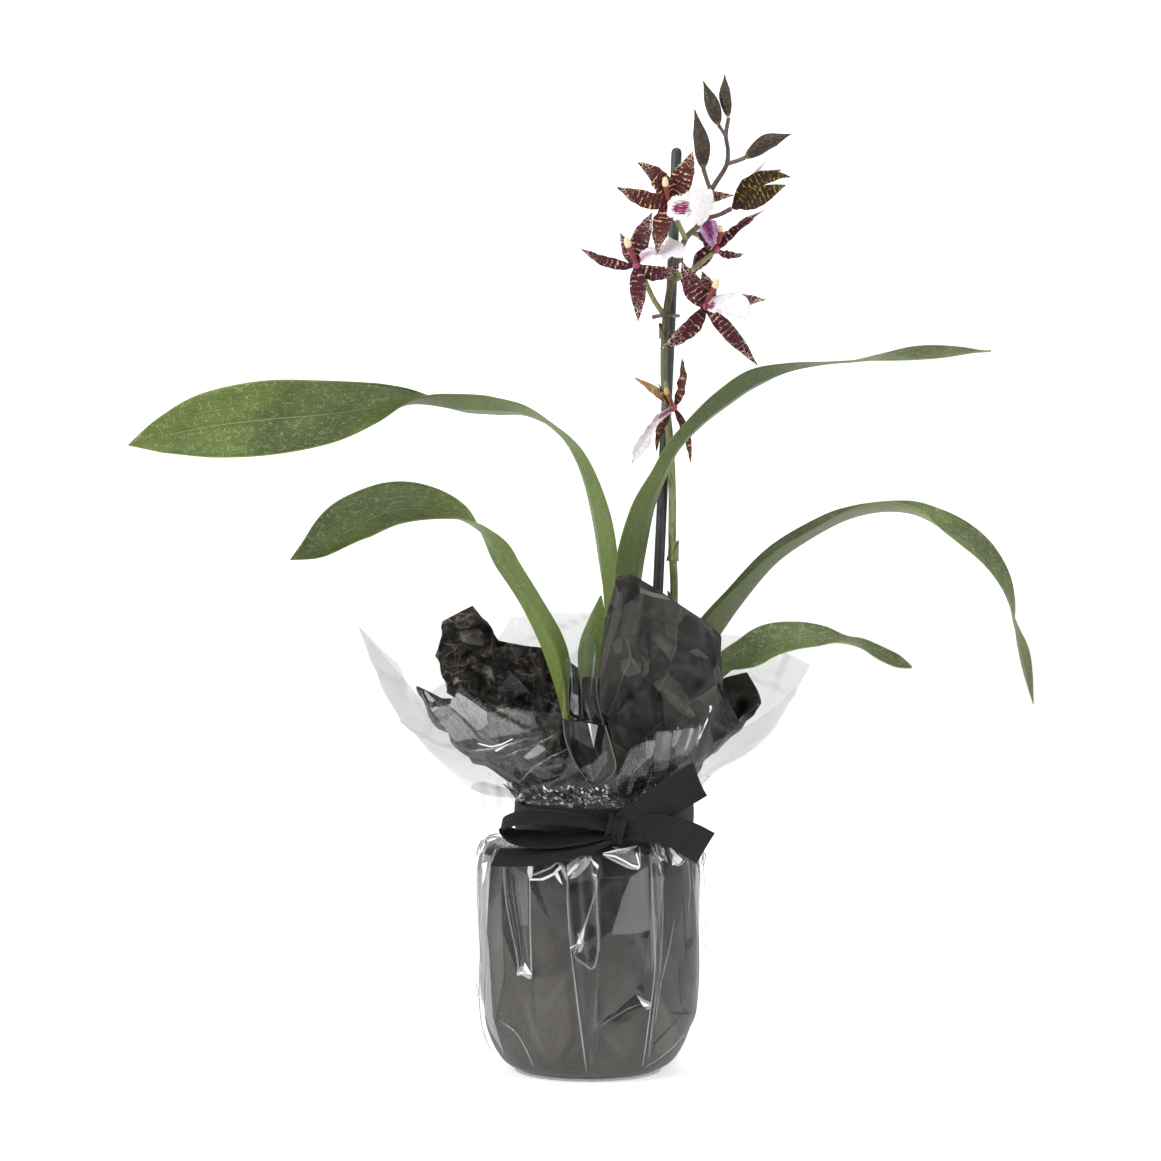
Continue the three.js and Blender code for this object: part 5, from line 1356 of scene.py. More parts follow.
def tissueFinish(name, tight, tightLight, loose, looseLight, wearAndHighlight=0.3):
    # thin black paper, paler on the pot where it is pressed against the film, a painted haze of reflected
    # light, and paler where broken by creases, partly its own wear and partly a painted highlight
    tissue = Finish(name, Specular_IOR_Level=0.22)
    point = tissue.point()
    crushed, flare, tone = (tissue.value(key) for key in ("crushed", "flare", "tone"))
    cloud = tissue.noise(point, 34, 4, 0.6)
    grain = tissue.noise(point, 300, 5, 0.7, 0.4)
    bent = tissue.shift(point, tissue.scale(tissue.noise(point, 30, 2, output="Color"), 0.012))
    # flat facets meet along sharp straight creases, large ones broken again into small ones
    facets = tissue.stretched(bent, 46, 46, 24)
    large = tissue.cells(facets, 1.0)
    free = tissue.fade(flare, 0.02, 0.2)
    slack = tissue.mix(tissue.fade(cloud, 0.34, 0.66), loose, looseLight)
    # painted light and shade: each facet lighter or darker as though it lay at its own angle, and its edges
    # paler, partly rubbed pale and partly a painted highlight
    shade = tissue.axis(tissue.cells(facets, 1.0, output="Color"), "X")
    edge = tissue.cells(facets, 1.0, "DISTANCE_TO_EDGE")
    broken = 1 - tissue.fade(tissue.cells(bent, 95, "DISTANCE_TO_EDGE"), 0.0, 0.07)
    # darker toward the rim of each large facet, then painted shade low in the flare where it is deep, painted
    # light and shade on the fine crumples of the crushed side, whose broken creases are partly worn pale and
    # partly a painted highlight, and painted shade in the hollows
    for amount, colour in (
            (tissue.fade(large, 0.55, 0.9) * 0.35, "#1b1a19"),
            (tissue.fade(shade, 0.5, 1.0) * 0.3, "#6b6863"), (tissue.fade(shade, 0.5, 0.0) * 0.5, "#100f0e"),
            ((1 - tissue.fade(edge, 0.0, 0.025)) * tissue.fade(cloud, 0.47, 0.58) * 0.34, "#7c7872"),
            (broken * crushed * tissue.fade(cloud, 0.4, 0.55) * 0.8, "#8a7f78"),
            ((1 - tissue.fade(flare, 0.42, 0.75)) * 0.7, "#0c0b0a"),
            (tissue.fade(grain, 0.52, 0.64) * crushed * 0.55, "#83786f"),
            (tissue.fade(grain, 0.5, 0.38) * crushed * 0.6, "#1d1715"),
            (tissue.value("hollow") * 0.8, "#161413")):
        slack = tissue.mix(amount, slack, colour)
    colour = tissue.mix(free, tissue.mix(tissue.fade(cloud, 0.3, 0.72), tight, tightLight), slack)
    # painted light and shade from the facets and gaps laid on the paper
    colour = tissue.mix(tissue.fade(tone, 0, 1), colour, "#8e8b85")
    colour = tissue.mix(tissue.fade(tone, 0, -1), colour, "#100f0e")
    tissue.set(Base_Color=tissue.mix(tissue.value("crease") * wearAndHighlight, colour, "#77726c"),
               Roughness=0.34 + cloud * 0.16)
    relief = large * 1.6 + tissue.cells(bent, 120) * (0.25 + crushed * 0.5) + grain * crushed * 0.35
    tissue.bump(relief * (0.04 + free * 0.96) + tissue.noise(point, 1500, 2) * 0.02, 0.006)
    return tissue.material


def filmFinish(name, clear, haze, folded):
    # clear crisp film, hazier where it is drawn over the pot, a painted haze of reflected light, and white
    # along its creases, partly its own whitening and partly a painted highlight
    film = Finish(name, IOR=2.2, Specular_IOR_Level=0.5)
    crease = film.value("crease")
    tight = 1 - film.fade(film.value("flare"), 0.0, 0.1)
    ripple = film.noise(film.point(), 22, 2, 0.5)
    film.set(Base_Color=film.mix(crease * folded + tight * haze, "#2f3132", "#f6f8fa"),
             Roughness=0.05 + ripple * 0.05, Alpha=clear - tight * clear * 0.75 + crease * folded * 0.6)
    film.bump(ripple, 0.0014, 0.6)
    return film.material


def sheenFinish():
    # film lying at an angle that catches the light, more or less
    sheen = Finish("filmSheen", IOR=2.2)
    streak = sheen.noise(sheen.stretched(sheen.point(), 260, 260, 34), 1.0, 3, 0.6)
    sheen.set(Base_Color=sheen.mix(sheen.fade(streak, 0.3, 0.7), "#bcbec0", "#d6d8da"),
              Roughness=0.1 + streak * 0.08, Alpha=sheen.value("sheen") * (0.8 + streak * 0.4))
    return sheen.material


def glintFinish():
    # the sharpest folds, white with reflected light
    glint = Finish("filmGlint", Specular_IOR_Level=0.8)
    point = glint.point()
    glint.set(Base_Color=glint.mix(glint.noise(point, 300, 2), "#eceeef", "#ffffff"),
              Roughness=0.08 + glint.noise(point, 90, 2) * 0.1, Alpha=glint.value("sheen"))
    return glint.material


# folds pressed into the film: how far they stand proud, how white they are (partly the film's own whitening,
# partly a painted highlight), then x, height and half width of their points in millimetres
filmFolds = [
    # broad pockets below the ribbon
    [1.1, 0, -44, 134, 6, -43, 112, 5.4, -39, 85, 4.2, -37, 68, 4.2, -36.6, 61, 4.8],
    [1.2, 0, -5, 136, 7.5, -5, 112, 8.4, -3, 88, 8.2, -2, 76, 7, -1, 70, 4],
    [1, 0.1, 35, 136, 4, 37, 112, 3.4, 38.5, 80, 2.2, 38, 62, 1.6, 33, 14, 1.2],
    # their bright edges and ends
    [0.5, 0.7, -49, 124, 0.4, -46.5, 100, 0.5, -42, 78, 0.5, -40, 66, 0.7, -40.5, 61, 0.9],
    [0.5, 0.7, -33.6, 128, 0.4, -33.4, 100, 0.45, -33, 76, 0.6, -32.6, 62, 0.8],
    [0.6, 1, -41, 62, 1, -37, 64.5, 3, -32.6, 61, 1.6],
    [0.5, 0.6, -12.6, 128, 0.4, -12.2, 100, 0.45, -10.6, 78, 0.4, -6, 40, 0.5, -2, 8, 0.4],
    [0.5, 0.5, 3.4, 126, 0.4, 3.8, 100, 0.4, 4, 76, 0.5, 1, 68, 0.6, -7, 74, 0.5],
    [0.5, 0.8, 3.8, 114, 0.3, -1, 98, 0.4, -6, 84, 0.9, -9, 76, 0.4],
    [0.8, 1, -7, 88, 0.4, -4.6, 83, 1.4, -6.4, 77, 1],
    [0.5, 0.7, 33.5, 132, 0.4, 35, 100, 0.5, 36, 66, 0.5, 33, 40, 0.4, 29.4, 10, 0.4],
    [0.5, 0.5, 39.5, 128, 0.3, 40.4, 96, 0.4, 39, 70, 0.3, 35.6, 44, 0.4, 32.4, 16, 0.3],
    [0.5, 0.5, 47, 92, 0.3, 44, 76, 0.45, 39.6, 58, 0.4, 36, 34, 0.4],
    [0.5, 0.5, 54, 128, 0.3, 56, 112, 0.4, 55, 96, 0.3],
    [0.4, 0.6, 57.5, 118, 0.4, 59.5, 96, 0.5, 60.5, 70, 0.4, 60, 44, 0.4],
    [0.5, 0.5, -50.5, 34, 0.4, -42, 29, 0.5, -36, 20, 0.5, -31.5, 9, 0.4],
    [0.5, 0.4, 31, 9, 0.4, 44, 17, 0.4, 55, 27, 0.4],
    [0.7, 1, 26, 52, 0.5, 30, 48, 1.2, 33, 46, 1.6, 31, 43.5, 0.5],
    [0.5, 0.3, 6, 36, 0.4, 14, 41, 0.5, 24, 46, 0.4, 30, 47, 0.3],
    # glints where the gathers leave the ribbon
    [0.7, 1, -35.5, 118, 0.5, -30, 120, 0.7, -22, 124, 0.7, -16, 129, 0.5],
    [0.8, 1, -18.5, 128, 0.5, -15.4, 124, 1.3, -13, 117, 0.6],
    [0.9, 0.9, -11, 118, 1, -6, 123.5, 2.6, -1.5, 128.5, 1.8, 0.5, 131, 0.6],
    [0.7, 0.8, 1, 122, 0.5, 3, 118, 1, 3.6, 113, 0.4],
    [0.8, 1, 7.5, 131, 0.5, 15, 127.5, 0.9, 23, 124, 1.1, 27, 123.5, 0.6],
    [0.8, 0.9, 12, 134.5, 0.4, 19, 133, 0.9, 26.5, 134.5, 0.5],
    [0.8, 0.7, 27.6, 134.5, 0.4, 27.4, 129, 0.7, 27.6, 124, 0.5],
    [0.8, 0.9, 33, 137, 0.5, 36, 131, 1, 38.5, 124, 0.8, 39.4, 119, 0.3],
    [0.8, 0.8, 37, 137, 0.4, 40.5, 131, 0.8, 43, 125, 0.6],
    [0.8, 1, 45, 127, 0.4, 49, 123, 0.9, 53.5, 125, 0.5],
    [0.6, 0.6, -52, 133, 0.5, -55, 124, 0.8, -57, 112, 0.4],
    # sheen and edges on the flare
    [0.8, 0.1, -75, 220, 2, -68, 208, 5, -60, 198, 4.5, -50, 192, 1.5],
    [0.7, 0.4, -84, 214, 0.5, -74, 204, 1, -66, 194, 0.7],
    [0.7, 0.45, -68, 188, 0.4, -52, 190.5, 0.7, -34, 196.5, 0.5],
    [0.7, 0.3, -52, 184, 0.4, -30, 193, 0.6, -18, 198, 0.4],
    [0.7, 0.4, -40, 170, 0.4, -28, 182, 0.6, -10, 190, 0.4],
    [0.6, 0.55, -15, 222, 0.4, -13.6, 196, 0.6, -6, 180, 0.6, 2, 176, 0.5, 9, 187, 0.6, 7, 204, 0.5, 3, 218,
     0.3],
    [0.6, 0.7, -10.5, 234, 0.4, -9.6, 214, 0.8, -6.6, 200, 0.5],
    [0.6, 0.6, -3, 216, 0.3, 0, 206, 0.9, 2, 198, 0.4],
    [0.5, 0.4, 3, 248, 0.3, 1.6, 232, 0.5, 0, 220, 0.3],
    [0.8, 0.45, 34, 205, 1.6, 33.6, 194, 2.6, 32.8, 184, 1.6],
    [0.8, 0.5, 46, 190, 1.2, 50, 202, 2.2, 57, 212, 0.7],
    [0.8, 0.8, 53, 188, 0.6, 56.6, 200, 1, 59, 210, 0.5],
    [0.7, 0.7, 62, 214, 0.5, 61, 200, 0.8, 59, 190, 0.4],
    [0.7, 0.5, 70, 226, 0.4, 82, 214, 0.8, 90, 208, 0.4],
    [0.6, 0.4, 8, 176, 0.4, 14, 190, 0.6, 26, 196, 0.5, 33, 204, 0.4],
    [0.6, 0.6, -45, 137, 0.4, -50, 130, 0.6, -53.5, 120, 0.4],
]
# the rest are shapes laid on the front, as x and height of their corners
# painted shade in the hollows where the paper stands off the film
paintedShadeGaps = [
    [-49, 112.5, -46.7, 120.8, -43.5, 122.7, -40.2, 104.2, -38.9, 90.4, -38.9, 83, -37.8, 71.1, -40.2, 63.5,
     -41.4, 64.6, -45.8, 75.7, -49.2, 84.9, -49.7, 107],
    [-10.7, 76.1, -2.9, 75.7, 2.2, 80.3, 5.2, 75.7, 4, 72, -2, 70.9, -7.5, 72.9],
    [-2.4, 92.1, 1.7, 91.3, 4, 86.7, -2, 83, -4.9, 81.9, -2.9, 86.7],
    [6.3, 36.5, 10, 41.4, 13.7, 41.6, 16.4, 45.2, 24.3, 51.5, 26.6, 52.2, 28.4, 48.9, 29.5, 45.6, 20.1, 42,
     14.6, 37.3, 12.3, 38.3],
    [24.3, 55.4, 28.9, 58.1, 30.5, 53.5, 29.5, 52.4, 26.6, 54.9],
    [27.1, 83.8, 32.9, 87.8, 32.3, 83.4, 29.4, 84],
    [21.5, 81.4, 24.7, 82.9, 24.9, 81.9, 22.4, 80.8],
    [53.6, 77.5, 56.1, 80.1, 58.1, 79.3, 58.1, 74.6, 54.2, 72.2],
    [44.6, 39.9, 49.8, 38.4, 61.2, 35.3, 61.1, 34.4, 48.7, 37.5],
    [55.6, 40.4, 35.8, 22, 35.3, 22.7, 45.9, 32.3],
    [6.3, 128.8, 25.7, 122.5, 26.6, 120.8, 22.9, 118.8, 7.2, 118.4],
    [5.6, 118.1, 14.6, 117.7, 22, 118.8, 17.8, 107.9, 11.8, 88.6, 6.3, 84.4, 5.6, 97.8],
    [-34.7, 114.2, -30.1, 115.8, -21.8, 94.1, -26.9, 99.6],
    [-11.7, 114.8, 4, 117.6, -1.5, 97.8, -10.7, 80.6, -11.6, 83],
    [59.8, 194.6, 64.9, 201, 68.1, 208.7, 65.1, 193.1, 60, 182.2, 55, 182.2],
    [9.9, 190.1, 11.5, 183, 14.5, 178.4, 5.9, 170.1, 1.6, 170.5, 6.4, 177],
    [-14.2, 193.1, -5.7, 180, 1.4, 182, 8.4, 190.1, 6.4, 195.1, -4.7, 188.1, -10.7, 195.1],
]
# painted light and shade on facets of the crumpled paper, as they face the light: how much lighter or darker
# first
paperLightAndShade = [
    [-0.41, 19.5, 281.7, 25.6, 282.5, 27.6, 272.6, 24.6, 270.6],
    [0.41, 27.6, 279.1, 35.7, 276, 45.8, 273.8, 45.3, 272, 35.7, 273.6, 27.8, 276.2],
    [0.22, 14.5, 277.6, 18, 276.6, 17, 263.5, 12.5, 250.4, 8.4, 235.3, 4.4, 223.2, 2.6, 223.2, 6.6, 241.3,
     10.7, 258.5],
    [0.24, 17, 238.3, 22.6, 240.8, 28.6, 236.3, 28.1, 231.2, 20.5, 229.2, 17, 233.3],
    [0.19, 12, 248.4, 18.7, 253.4, 18, 243.4, 13.5, 241.3],
    [-0.61, 34.2, 243.4, 38.7, 245.4, 44.8, 237.3, 42.7, 231.2, 33.7, 224.2, 24.6, 219.1, 16.5, 210.1, 13.5,
     209.1, 21.6, 219.1, 32.6, 229.2, 35.7, 236.3],
    [0.14, 29.6, 236.3, 33.7, 239.3, 32.6, 231.2, 28.6, 229.2],
    [-0.34, 18.5, 227.2, 23.6, 223.2, 15.5, 213.1, 8.4, 214.1],
    [0.27, 54.8, 243.4, 59.9, 244.9, 66.4, 239.3, 64.9, 238.3, 57.9, 241.3],
    [-0.27, 64.9, 253.4, 69, 250.4, 67.1, 239.3, 64.3, 245.4],
    [0.16, 39.7, 223.2, 47.8, 219.1, 55.8, 211.1, 57.9, 205, 51.8, 207, 43.7, 215.1],
    [-0.47, 38.7, 221.2, 42.7, 213.1, 49.8, 204, 40.7, 207, 35.7, 211.1],
    [0.27, 49.8, 213.1, 53.8, 214.1, 59.4, 206, 55.8, 205],
    [-0.47, 9.5, 205, 20.5, 203, 28.6, 192.9, 21.6, 189.9, 15.5, 182.8, 12.7, 190.9],
    [0.09, 33.7, 260.5, 45.8, 258.5, 57.9, 250.4, 51.8, 247.4, 40.7, 253.4],
    [0.41, -76.3, 248.4, -65.2, 250.9, -61.1, 246.4, -62.2, 240.3, -69.2, 241.3, -75.3, 243.4],
    [-0.54, -83.1, 253.4, -73.3, 254.4, -63.2, 259.5, -57.1, 255.5, -61.1, 251.4, -72.2, 250.4, -81.3,
     249.4],
    [0.3, -61.1, 239.3, -57.1, 241.3, -52.1, 239.3, -48, 241.3, -49, 235.3, -53.1, 233.3, -59.1, 235.3],
    [-0.68, -67.2, 237.3, -61.1, 233.3, -49, 231.2, -36.9, 227.2, -32.9, 223.2, -41, 224.2, -53.1, 227.2,
     -65.2, 231.2],
    [0.41, -70.2, 236.3, -63.2, 231.2, -57.1, 227.2, -55.1, 219.1, -61.1, 225.2, -68.2, 230.2],
    [-0.68, -72.2, 233.3, -70.2, 229.2, -62.2, 223.2, -58.1, 217.1, -65.2, 222.2, -72.2, 227.2],
    [0.54, -63.2, 230.2, -58.1, 228.2, -55.1, 221.2, -59.1, 223.2],
    [-0.41, -49, 246.4, -46, 239.3, -49, 235.3, -55.1, 240.3],
    [0.19, -45, 245.4, -35.9, 246.4, -33.9, 243.4, -41, 241.3, -46, 241.8],
    [-0.54, -34.9, 244.9, -26.9, 243.9, -24.8, 235.3, -30.9, 233.3, -34.9, 239.3],
    [0.3, -47, 227.2, -34.9, 223.2, -30.9, 224.2, -32.9, 221.2, -41, 223.2],
    [0.27, -95.9, 222, -92.4, 213.1, -87.4, 201, -80.3, 189.9, -79.3, 186.9, -87.4, 198, -94.4, 211.1],
    [-0.41, -80.3, 187.9, -75.3, 183.8, -61.1, 182.8, -49, 169.7, -57.1, 177.8, -72.2, 182.8],
    [0.2, -49, 190.9, -41, 194.9, -28.9, 197, -30.9, 192.9, -41, 188.9],
    [-0.54, -45, 186.9, -34.9, 190.9, -39, 184.9, -49, 180.8],
    [0.19, -45, 176.8, -34.9, 177.8, -24.8, 180.8, -28.9, 176.8, -36.9, 173.8],
    [-0.81, -51.1, 182.8, -48, 178.8, -45, 172.8, -41, 167.7, -46, 170.7, -50.1, 176.8],
    [-0.54, -14.8, 192.9, -8.7, 181.8, -4.7, 174.8, -10.7, 176.8, -16.8, 184.9],
    [0.16, -28.9, 207, -20.8, 203, -16.8, 192.9, -22.8, 194.9],
]
# and painted light and shade on the pot, where the paper lies closer to the film or away from it
potLightAndShade = [
    [0.21, 34, 132, 41, 132, 39, 98, 34, 66, 30, 62, 33, 96],
    [-0.36, 42, 126, 51, 127, 54, 110, 50, 92, 44, 74, 40, 90],
    [0.16, 52, 122, 57, 124, 60, 96, 58, 60, 54, 74, 55, 104],
    [-0.26, -32, 124, -14, 124, -12, 104, -20, 80, -29, 96],
    [0.19, -31, 60, -14, 66, -10, 30, -20, 10, -30, 22],
    [-0.41, -4, 70, 3, 68, 6, 44, 2, 16, -3, 30],
    [0.13, 8, 60, 26, 66, 29, 40, 22, 16, 9, 20],
    [-0.43, 10, 38, 24, 46, 30, 47, 26, 41, 13, 33],
    [0.23, 36, 50, 42, 44, 50, 26, 44, 14, 36, 16],
    [-0.36, 50, 66, 57, 72, 59, 50, 56, 34, 51, 44],
    [0.29, -58, 96, -50, 108, -48, 60, -54, 30, -59, 60],
]
# film that catches the light, how much first
sheens = [
    [0.13, 33.2, 117.9, 41.3, 118.1, 39.5, 107, 37.8, 88.6, 34.5, 63.7, 33.2, 88.6],
    [0.1, -43.5, 122.7, -34.7, 119, -34.3, 90.4, -38.9, 90.4, -40.2, 104.2],
    [0.03, -7.5, 71.1, -2, 70.1, 5.4, 71.1, 3.5, 60.9, 1.7, 42.5, 4.5, 24, -0.1, 12.1, -2, 28.6, -5.7, 51.7],
    [0.13, 22, 118.1, 32.1, 124.5, 33, 88.6, 25.7, 86.7, 11.8, 86.7, 17.8, 107],
    [0.42, -12.9, 125.3, -6.6, 130.1, -2, 131.7, -0.5, 128.9, -7.5, 123.4, -12.1, 118.8, -13.2, 116.2],
    [0.22, 7.2, 131.9, 13.7, 133.3, 23.8, 134.2, 25.7, 129.1, 27.1, 125.1, 19.2, 128.2, 13.7, 130.6],
    [0.26, 34.9, 134.7, 41.2, 134.7, 41.5, 126.4, 37.7, 125.4, 33.5, 125.4],
    [0.2, 42.3, 134.7, 45.5, 129.1, 49.8, 126.2, 47.8, 122.9, 45.5, 123.6],
    [0.34, -63.2, 126.4, -55.5, 126.4, -58.4, 116.2, -58, 83, -60.1, 36.9, -62.8, 51.7, -64.1, 88.6],
    [0.3, -58, 83, -56.9, 75.7, -54.5, 35.1, -48.1, 13.9, -56.4, 27.7, -59.5, 36.9],
    [0.36, 59.4, 124.5, 63.6, 129.1, 64, 88.6, 62.5, 51.7, 61.1, 79.3, 58.9, 104.2],
    [0.09, 15, 167.4, 14.5, 174, 19.5, 186.1, 23, 191.6, 36.1, 195.1, 35.1, 187.1, 28.6, 184, 23.5, 175.5],
    [0.14, 36.8, 199, 45.7, 200, 45.2, 193.1, 43.5, 178.5, 35.6, 176, 35.2, 187.1],
    [0.1, 39.7, 198.2, 44.7, 198.4, 43.7, 190.1, 39.7, 187.1],
    [0.1, 47.7, 199.6, 64.9, 203, 59.8, 193.1, 51.8, 182, 47.3, 180],
    [0.45, -95.4, 222.1, -83.8, 212.1, -87.7, 209],
    [0.2, -83.8, 212.1, -79, 213.6, -65.1, 200.2, -63.1, 196.3, -75.2, 193.1, -87.3, 208.7],
    [0.4, -79, 213.6, -72.2, 209.2, -62.1, 200.2, -56.6, 204.2, -57.1, 211, -69.2, 219.3, -78.2, 223.3],
    [0.13, -57.1, 211, -46, 224.1, -40.9, 220.1, -31.9, 209.2, -28.9, 201.2, -43, 198.2, -56.1, 196.1,
     -62.1, 197.5],
    [0.09, -55, 207, -49, 213.1, -35.9, 210, -31.9, 203.2, -45, 198.2, -56.7, 196.9],
    [0.36, -36.9, 185.9, -28.9, 192.9, -24.8, 190.1, -29.7, 186.1, -34.9, 184.4],
    [0.12, -5.7, 179.5, 1.4, 181.8, 9.4, 189.9, 10.4, 184, 1.6, 170.5, -3.7, 174.8],
    [0.42, -11.2, 221.1, -6.2, 219.1, -5.9, 208.2, -9.7, 209, -11.7, 213.3],
    [0.5, -1.4, 204.2, 4.6, 203.2, 2, 190.1],
    [0.07, -12.2, 206, -1.6, 204.2, 1.6, 190.1, -4.7, 193.1, -11.7, 197.1],
]
# and its brightest folds
glints = [
    [-36.1, 69.6, -32.1, 63.1, -40.7, 62.7, -37.2, 64.4],
    [-33.8, 117, -26.9, 117.5, -20.4, 121, -16.3, 125.2, -15.6, 123.8, -20.2, 119.5, -26, 116.4, -33.3, 116],
    [-20.4, 120.8, -18.4, 123.8, -15.3, 114.7, -17.7, 117],
    [-12.1, 119.4, -7.5, 124.3, -1.8, 128.9, -2, 130.1, -8.4, 125.9, -12.6, 120.8],
    [-0.4, 130.1, 4.5, 125.6, 4.1, 123.4, 1.5, 126.2],
    [1.2, 121.5, 3.7, 119.9, 2.8, 119.4, 1.2, 120.4],
    [7, 131.5, 13.7, 130.6, 19.2, 128, 26.4, 123.8, 27, 124.9, 27.5, 124.3, 26.4, 122.5, 19.2, 126.9, 13.5,
     129.7, 7, 130.8],
    [7.2, 131.9, 13.7, 133.1, 24.3, 134.3, 24.3, 133.7, 13.7, 132.4, 7.2, 131.4],
    [25.7, 131.9, 27.7, 124.7, 26.8, 124.3, 25.1, 131],
    [36, 134.7, 37.1, 134.7, 38.6, 129.5, 41, 126.5, 39.5, 126.7, 37.3, 129.3],
    [39.1, 134.7, 40.2, 134.7, 41.2, 131, 40.6, 128.9],
    [42.8, 134.7, 43.7, 134.7, 46.1, 130.2, 50, 127.3, 51.5, 125.6, 49.8, 123.4, 45.4, 122.9, 45.4, 123.5,
     49.3, 124.2, 50.2, 125.6, 48.7, 126.7, 45.2, 129.5],
    [27.3, 49.5, 29.9, 47.6, 33, 45.9, 29.9, 45.2, 28.4, 47.1],
    [-5.3, 86.4, -2.9, 92.1, -3.5, 86.7, -4.9, 81.9, -7.3, 81.7, -6.6, 84.4],
    [-11.2, 79.7, -7.5, 81.7, -7.9, 81, -10.8, 79],
    [-61, 120.8, -57.3, 122.7, -58.8, 113.5, -60.4, 108.8, -60.1, 117.1],
    [-34.7, 120.8, -34.1, 124.5, -31.5, 123.6, -32, 118.1, -33.5, 117.1],
    [59.8, 195.1, 63, 200.6, 67.5, 210.6, 68.1, 210, 64, 200.6, 60.6, 194.5],
    [66.5, 211.7, 67.9, 212.1, 68.1, 210.4, 66.7, 209.8],
    [-62.1, 193.3, -55, 191.7, -49, 193.3, -43, 196.3, -42.8, 195.9, -48.8, 192.6, -55, 190.9, -62.1, 192.7],
    [-53, 189.1, -46, 193.1, -45.6, 192.6, -52, 188.5],
    [-1.2, 204, 0.4, 203.8, 2, 190.6, 1.4, 193.1],
]


def facing(turn):
    # straight back, from a place turned about the pot
    return Vector((-math.sin(turn), math.cos(turn), 0))


def frontOf(grounds, x, z, turn):
    # the nearest surface met looking straight back, and its normal toward the eye
    back = facing(turn)
    eye = Vector((x * math.cos(turn), x * math.sin(turn), z)) * mm - back * 0.3
    found = [(hit / mm, normal, far) for hit, normal, _, far in (tree.ray_cast(eye, back) for tree in grounds)
             if hit is not None]
    if not found:
        return None
    hit, normal, _ = min(found, key=lambda met: met[2])
    return hit, (normal if normal.dot(back) < 0 else -normal)


def netOf(outline):
    # an outline of x and height filled with small triangles
    net = bmesh.new()
    net.faces.new([net.verts.new((x, 0, z)) for x, z in np.reshape(outline, (-1, 2))])
    bmesh.ops.triangulate(net, faces=net.faces[:])
    for size in (16, 8, 4, 2.6):
        long = [edge for edge in net.edges if edge.calc_length() > size]
        bmesh.ops.subdivide_edges(net, edges=long, cuts=1)
        bmesh.ops.triangulate(net, faces=net.faces[:])
    net.verts.index_update()
    points = [(vert.co.x, vert.co.z) for vert in net.verts]
    faces = [[vert.index for vert in (face.verts if face.normal.y < 0 else reversed(face.verts))]
             for face in net.faces]
    net.free()
    return points, faces


def patchPiece(name, outline, turn, grounds, proud, values, material):
    # a shape pressed onto the wrapped sheets
    spots, triangles = netOf(outline)
    back = facing(turn)
    points, kept = [], {}
    for i, (x, z) in enumerate(spots):
        met = frontOf(grounds, x, z, turn)
        if met:
            kept[i] = len(points)
            points.append(list(met[0] + met[1] * proud))
    faces = []
    for triangle in triangles:
        corners = [kept.get(i) for i in triangle]
        if None not in corners and np.ptp([back.dot(Vector(points[i])) for i in corners]) < 7:
            faces.append(corners)
    return makePiece(name, points, faces, values, [[x / 10, z / 10] for x, _, z in points], material)


# a loose lobe of the film low on the left: its depth, then its outline
filmLobe = [-20, -66.4, 166.4, -60, 167.6, -53, 165.4, -46, 163.2, -40, 162.6, -40.6, 154.9, -50, 153.6,
            -58, 152, -63, 150.8, -66.8, 153, -68.4, 158, -68, 163]


def makeLobe(material):
    deep, *outline = filmLobe
    spots, faces = netOf(outline)
    points = [[x, deep + 0.15 * math.sin(x * 0.2 + z * 0.1), z] for x, z in spots]
    # faint white bands across the lobe, partly the film's own whitening and partly a painted highlight
    lobe = makePiece("film_lobe", points, faces,
                     {"crease": [0.12 + 0.1 * math.sin(x * 0.7) for x, _ in spots], "flare": 1},
                     [[x / 10, z / 10] for x, z in spots], material)
    settle(thicken(lobe, wrapForm["film"]["thickness"]), [])


def foldPiece(name, line, turn, proud, white, ground, material):
    # a pinched fold that lies on the film
    line = np.reshape(line, (-1, 3))
    spots, normals = [], []
    for x, z, half in throughPoints(line, np.linspace(0, 1, 9 + 8 * len(line))):
        met = frontOf([ground], x, z, turn)
        if met:
            spots.append([*met[0], half])
            normals.append(list(met[1]))
    spots, normals = np.array(spots), unit(np.array(normals))
    soft = normals.copy()
    for i in range(2, len(soft) - 2):
        soft[i] = normals[i - 2:i + 3].mean(axis=0)
    normals = unit(soft)
    side = unit(np.cross(normals, unit(np.gradient(spots[:, :3], axis=0))))
    spread = np.linspace(-1, 1, 7)
    count = len(spots)
    taper = np.minimum(1, np.sin(np.linspace(0.08, math.pi - 0.08, count)) * 3)
    half = np.maximum(spots[:, 3], 0.15) * taper
    rise = proud * (1 - np.abs(spread) ** 0.8)[None, :] * taper[:, None] + 0.25
    points = beside(spots[:, :3], side, normals, half[:, None] * spread[None, :], rise)
    # its edges and ridge go whiter still, a painted highlight
    edge = np.maximum(np.abs(spread) ** 6, (np.abs(spread) < 0.1) * 0.6)
    uv = np.column_stack([np.tile(spread, count), np.repeat(np.linspace(0, 1, count), 7)])
    fold = makePiece(name, points, gridFaces(count, 7),
                     {"crease": np.tile(np.clip(white + 0.5 * edge, 0, 1), count), "flare": 0}, uv, material)
    return thicken(fold, wrapForm["film"]["thickness"])


otherSides = {"turns": [2.0, 3.25, 4.4], "below": 139, "within": 40}


def allRound(table, lead, step, shape, most=1.0):
    # shapes for every row of a table, and again on the other sides of the pot where they lie low on it,
    # below the ribbon and away from its outline; lead numbers come before the points of a row
    low = [row for row in table if max(row[lead + 1::step]) < otherSides["below"]
           and max(abs(x) for x in row[lead::step]) < otherSides["within"] and (not lead or row[0] < most)]
    rows = [(row, 0.0) for row in table] + [(row, turn) for turn in otherSides["turns"] for row in low]
    return [shape("shape" + str(i), row[:lead], row[lead:], turn) for i, (row, turn) in enumerate(rows)]


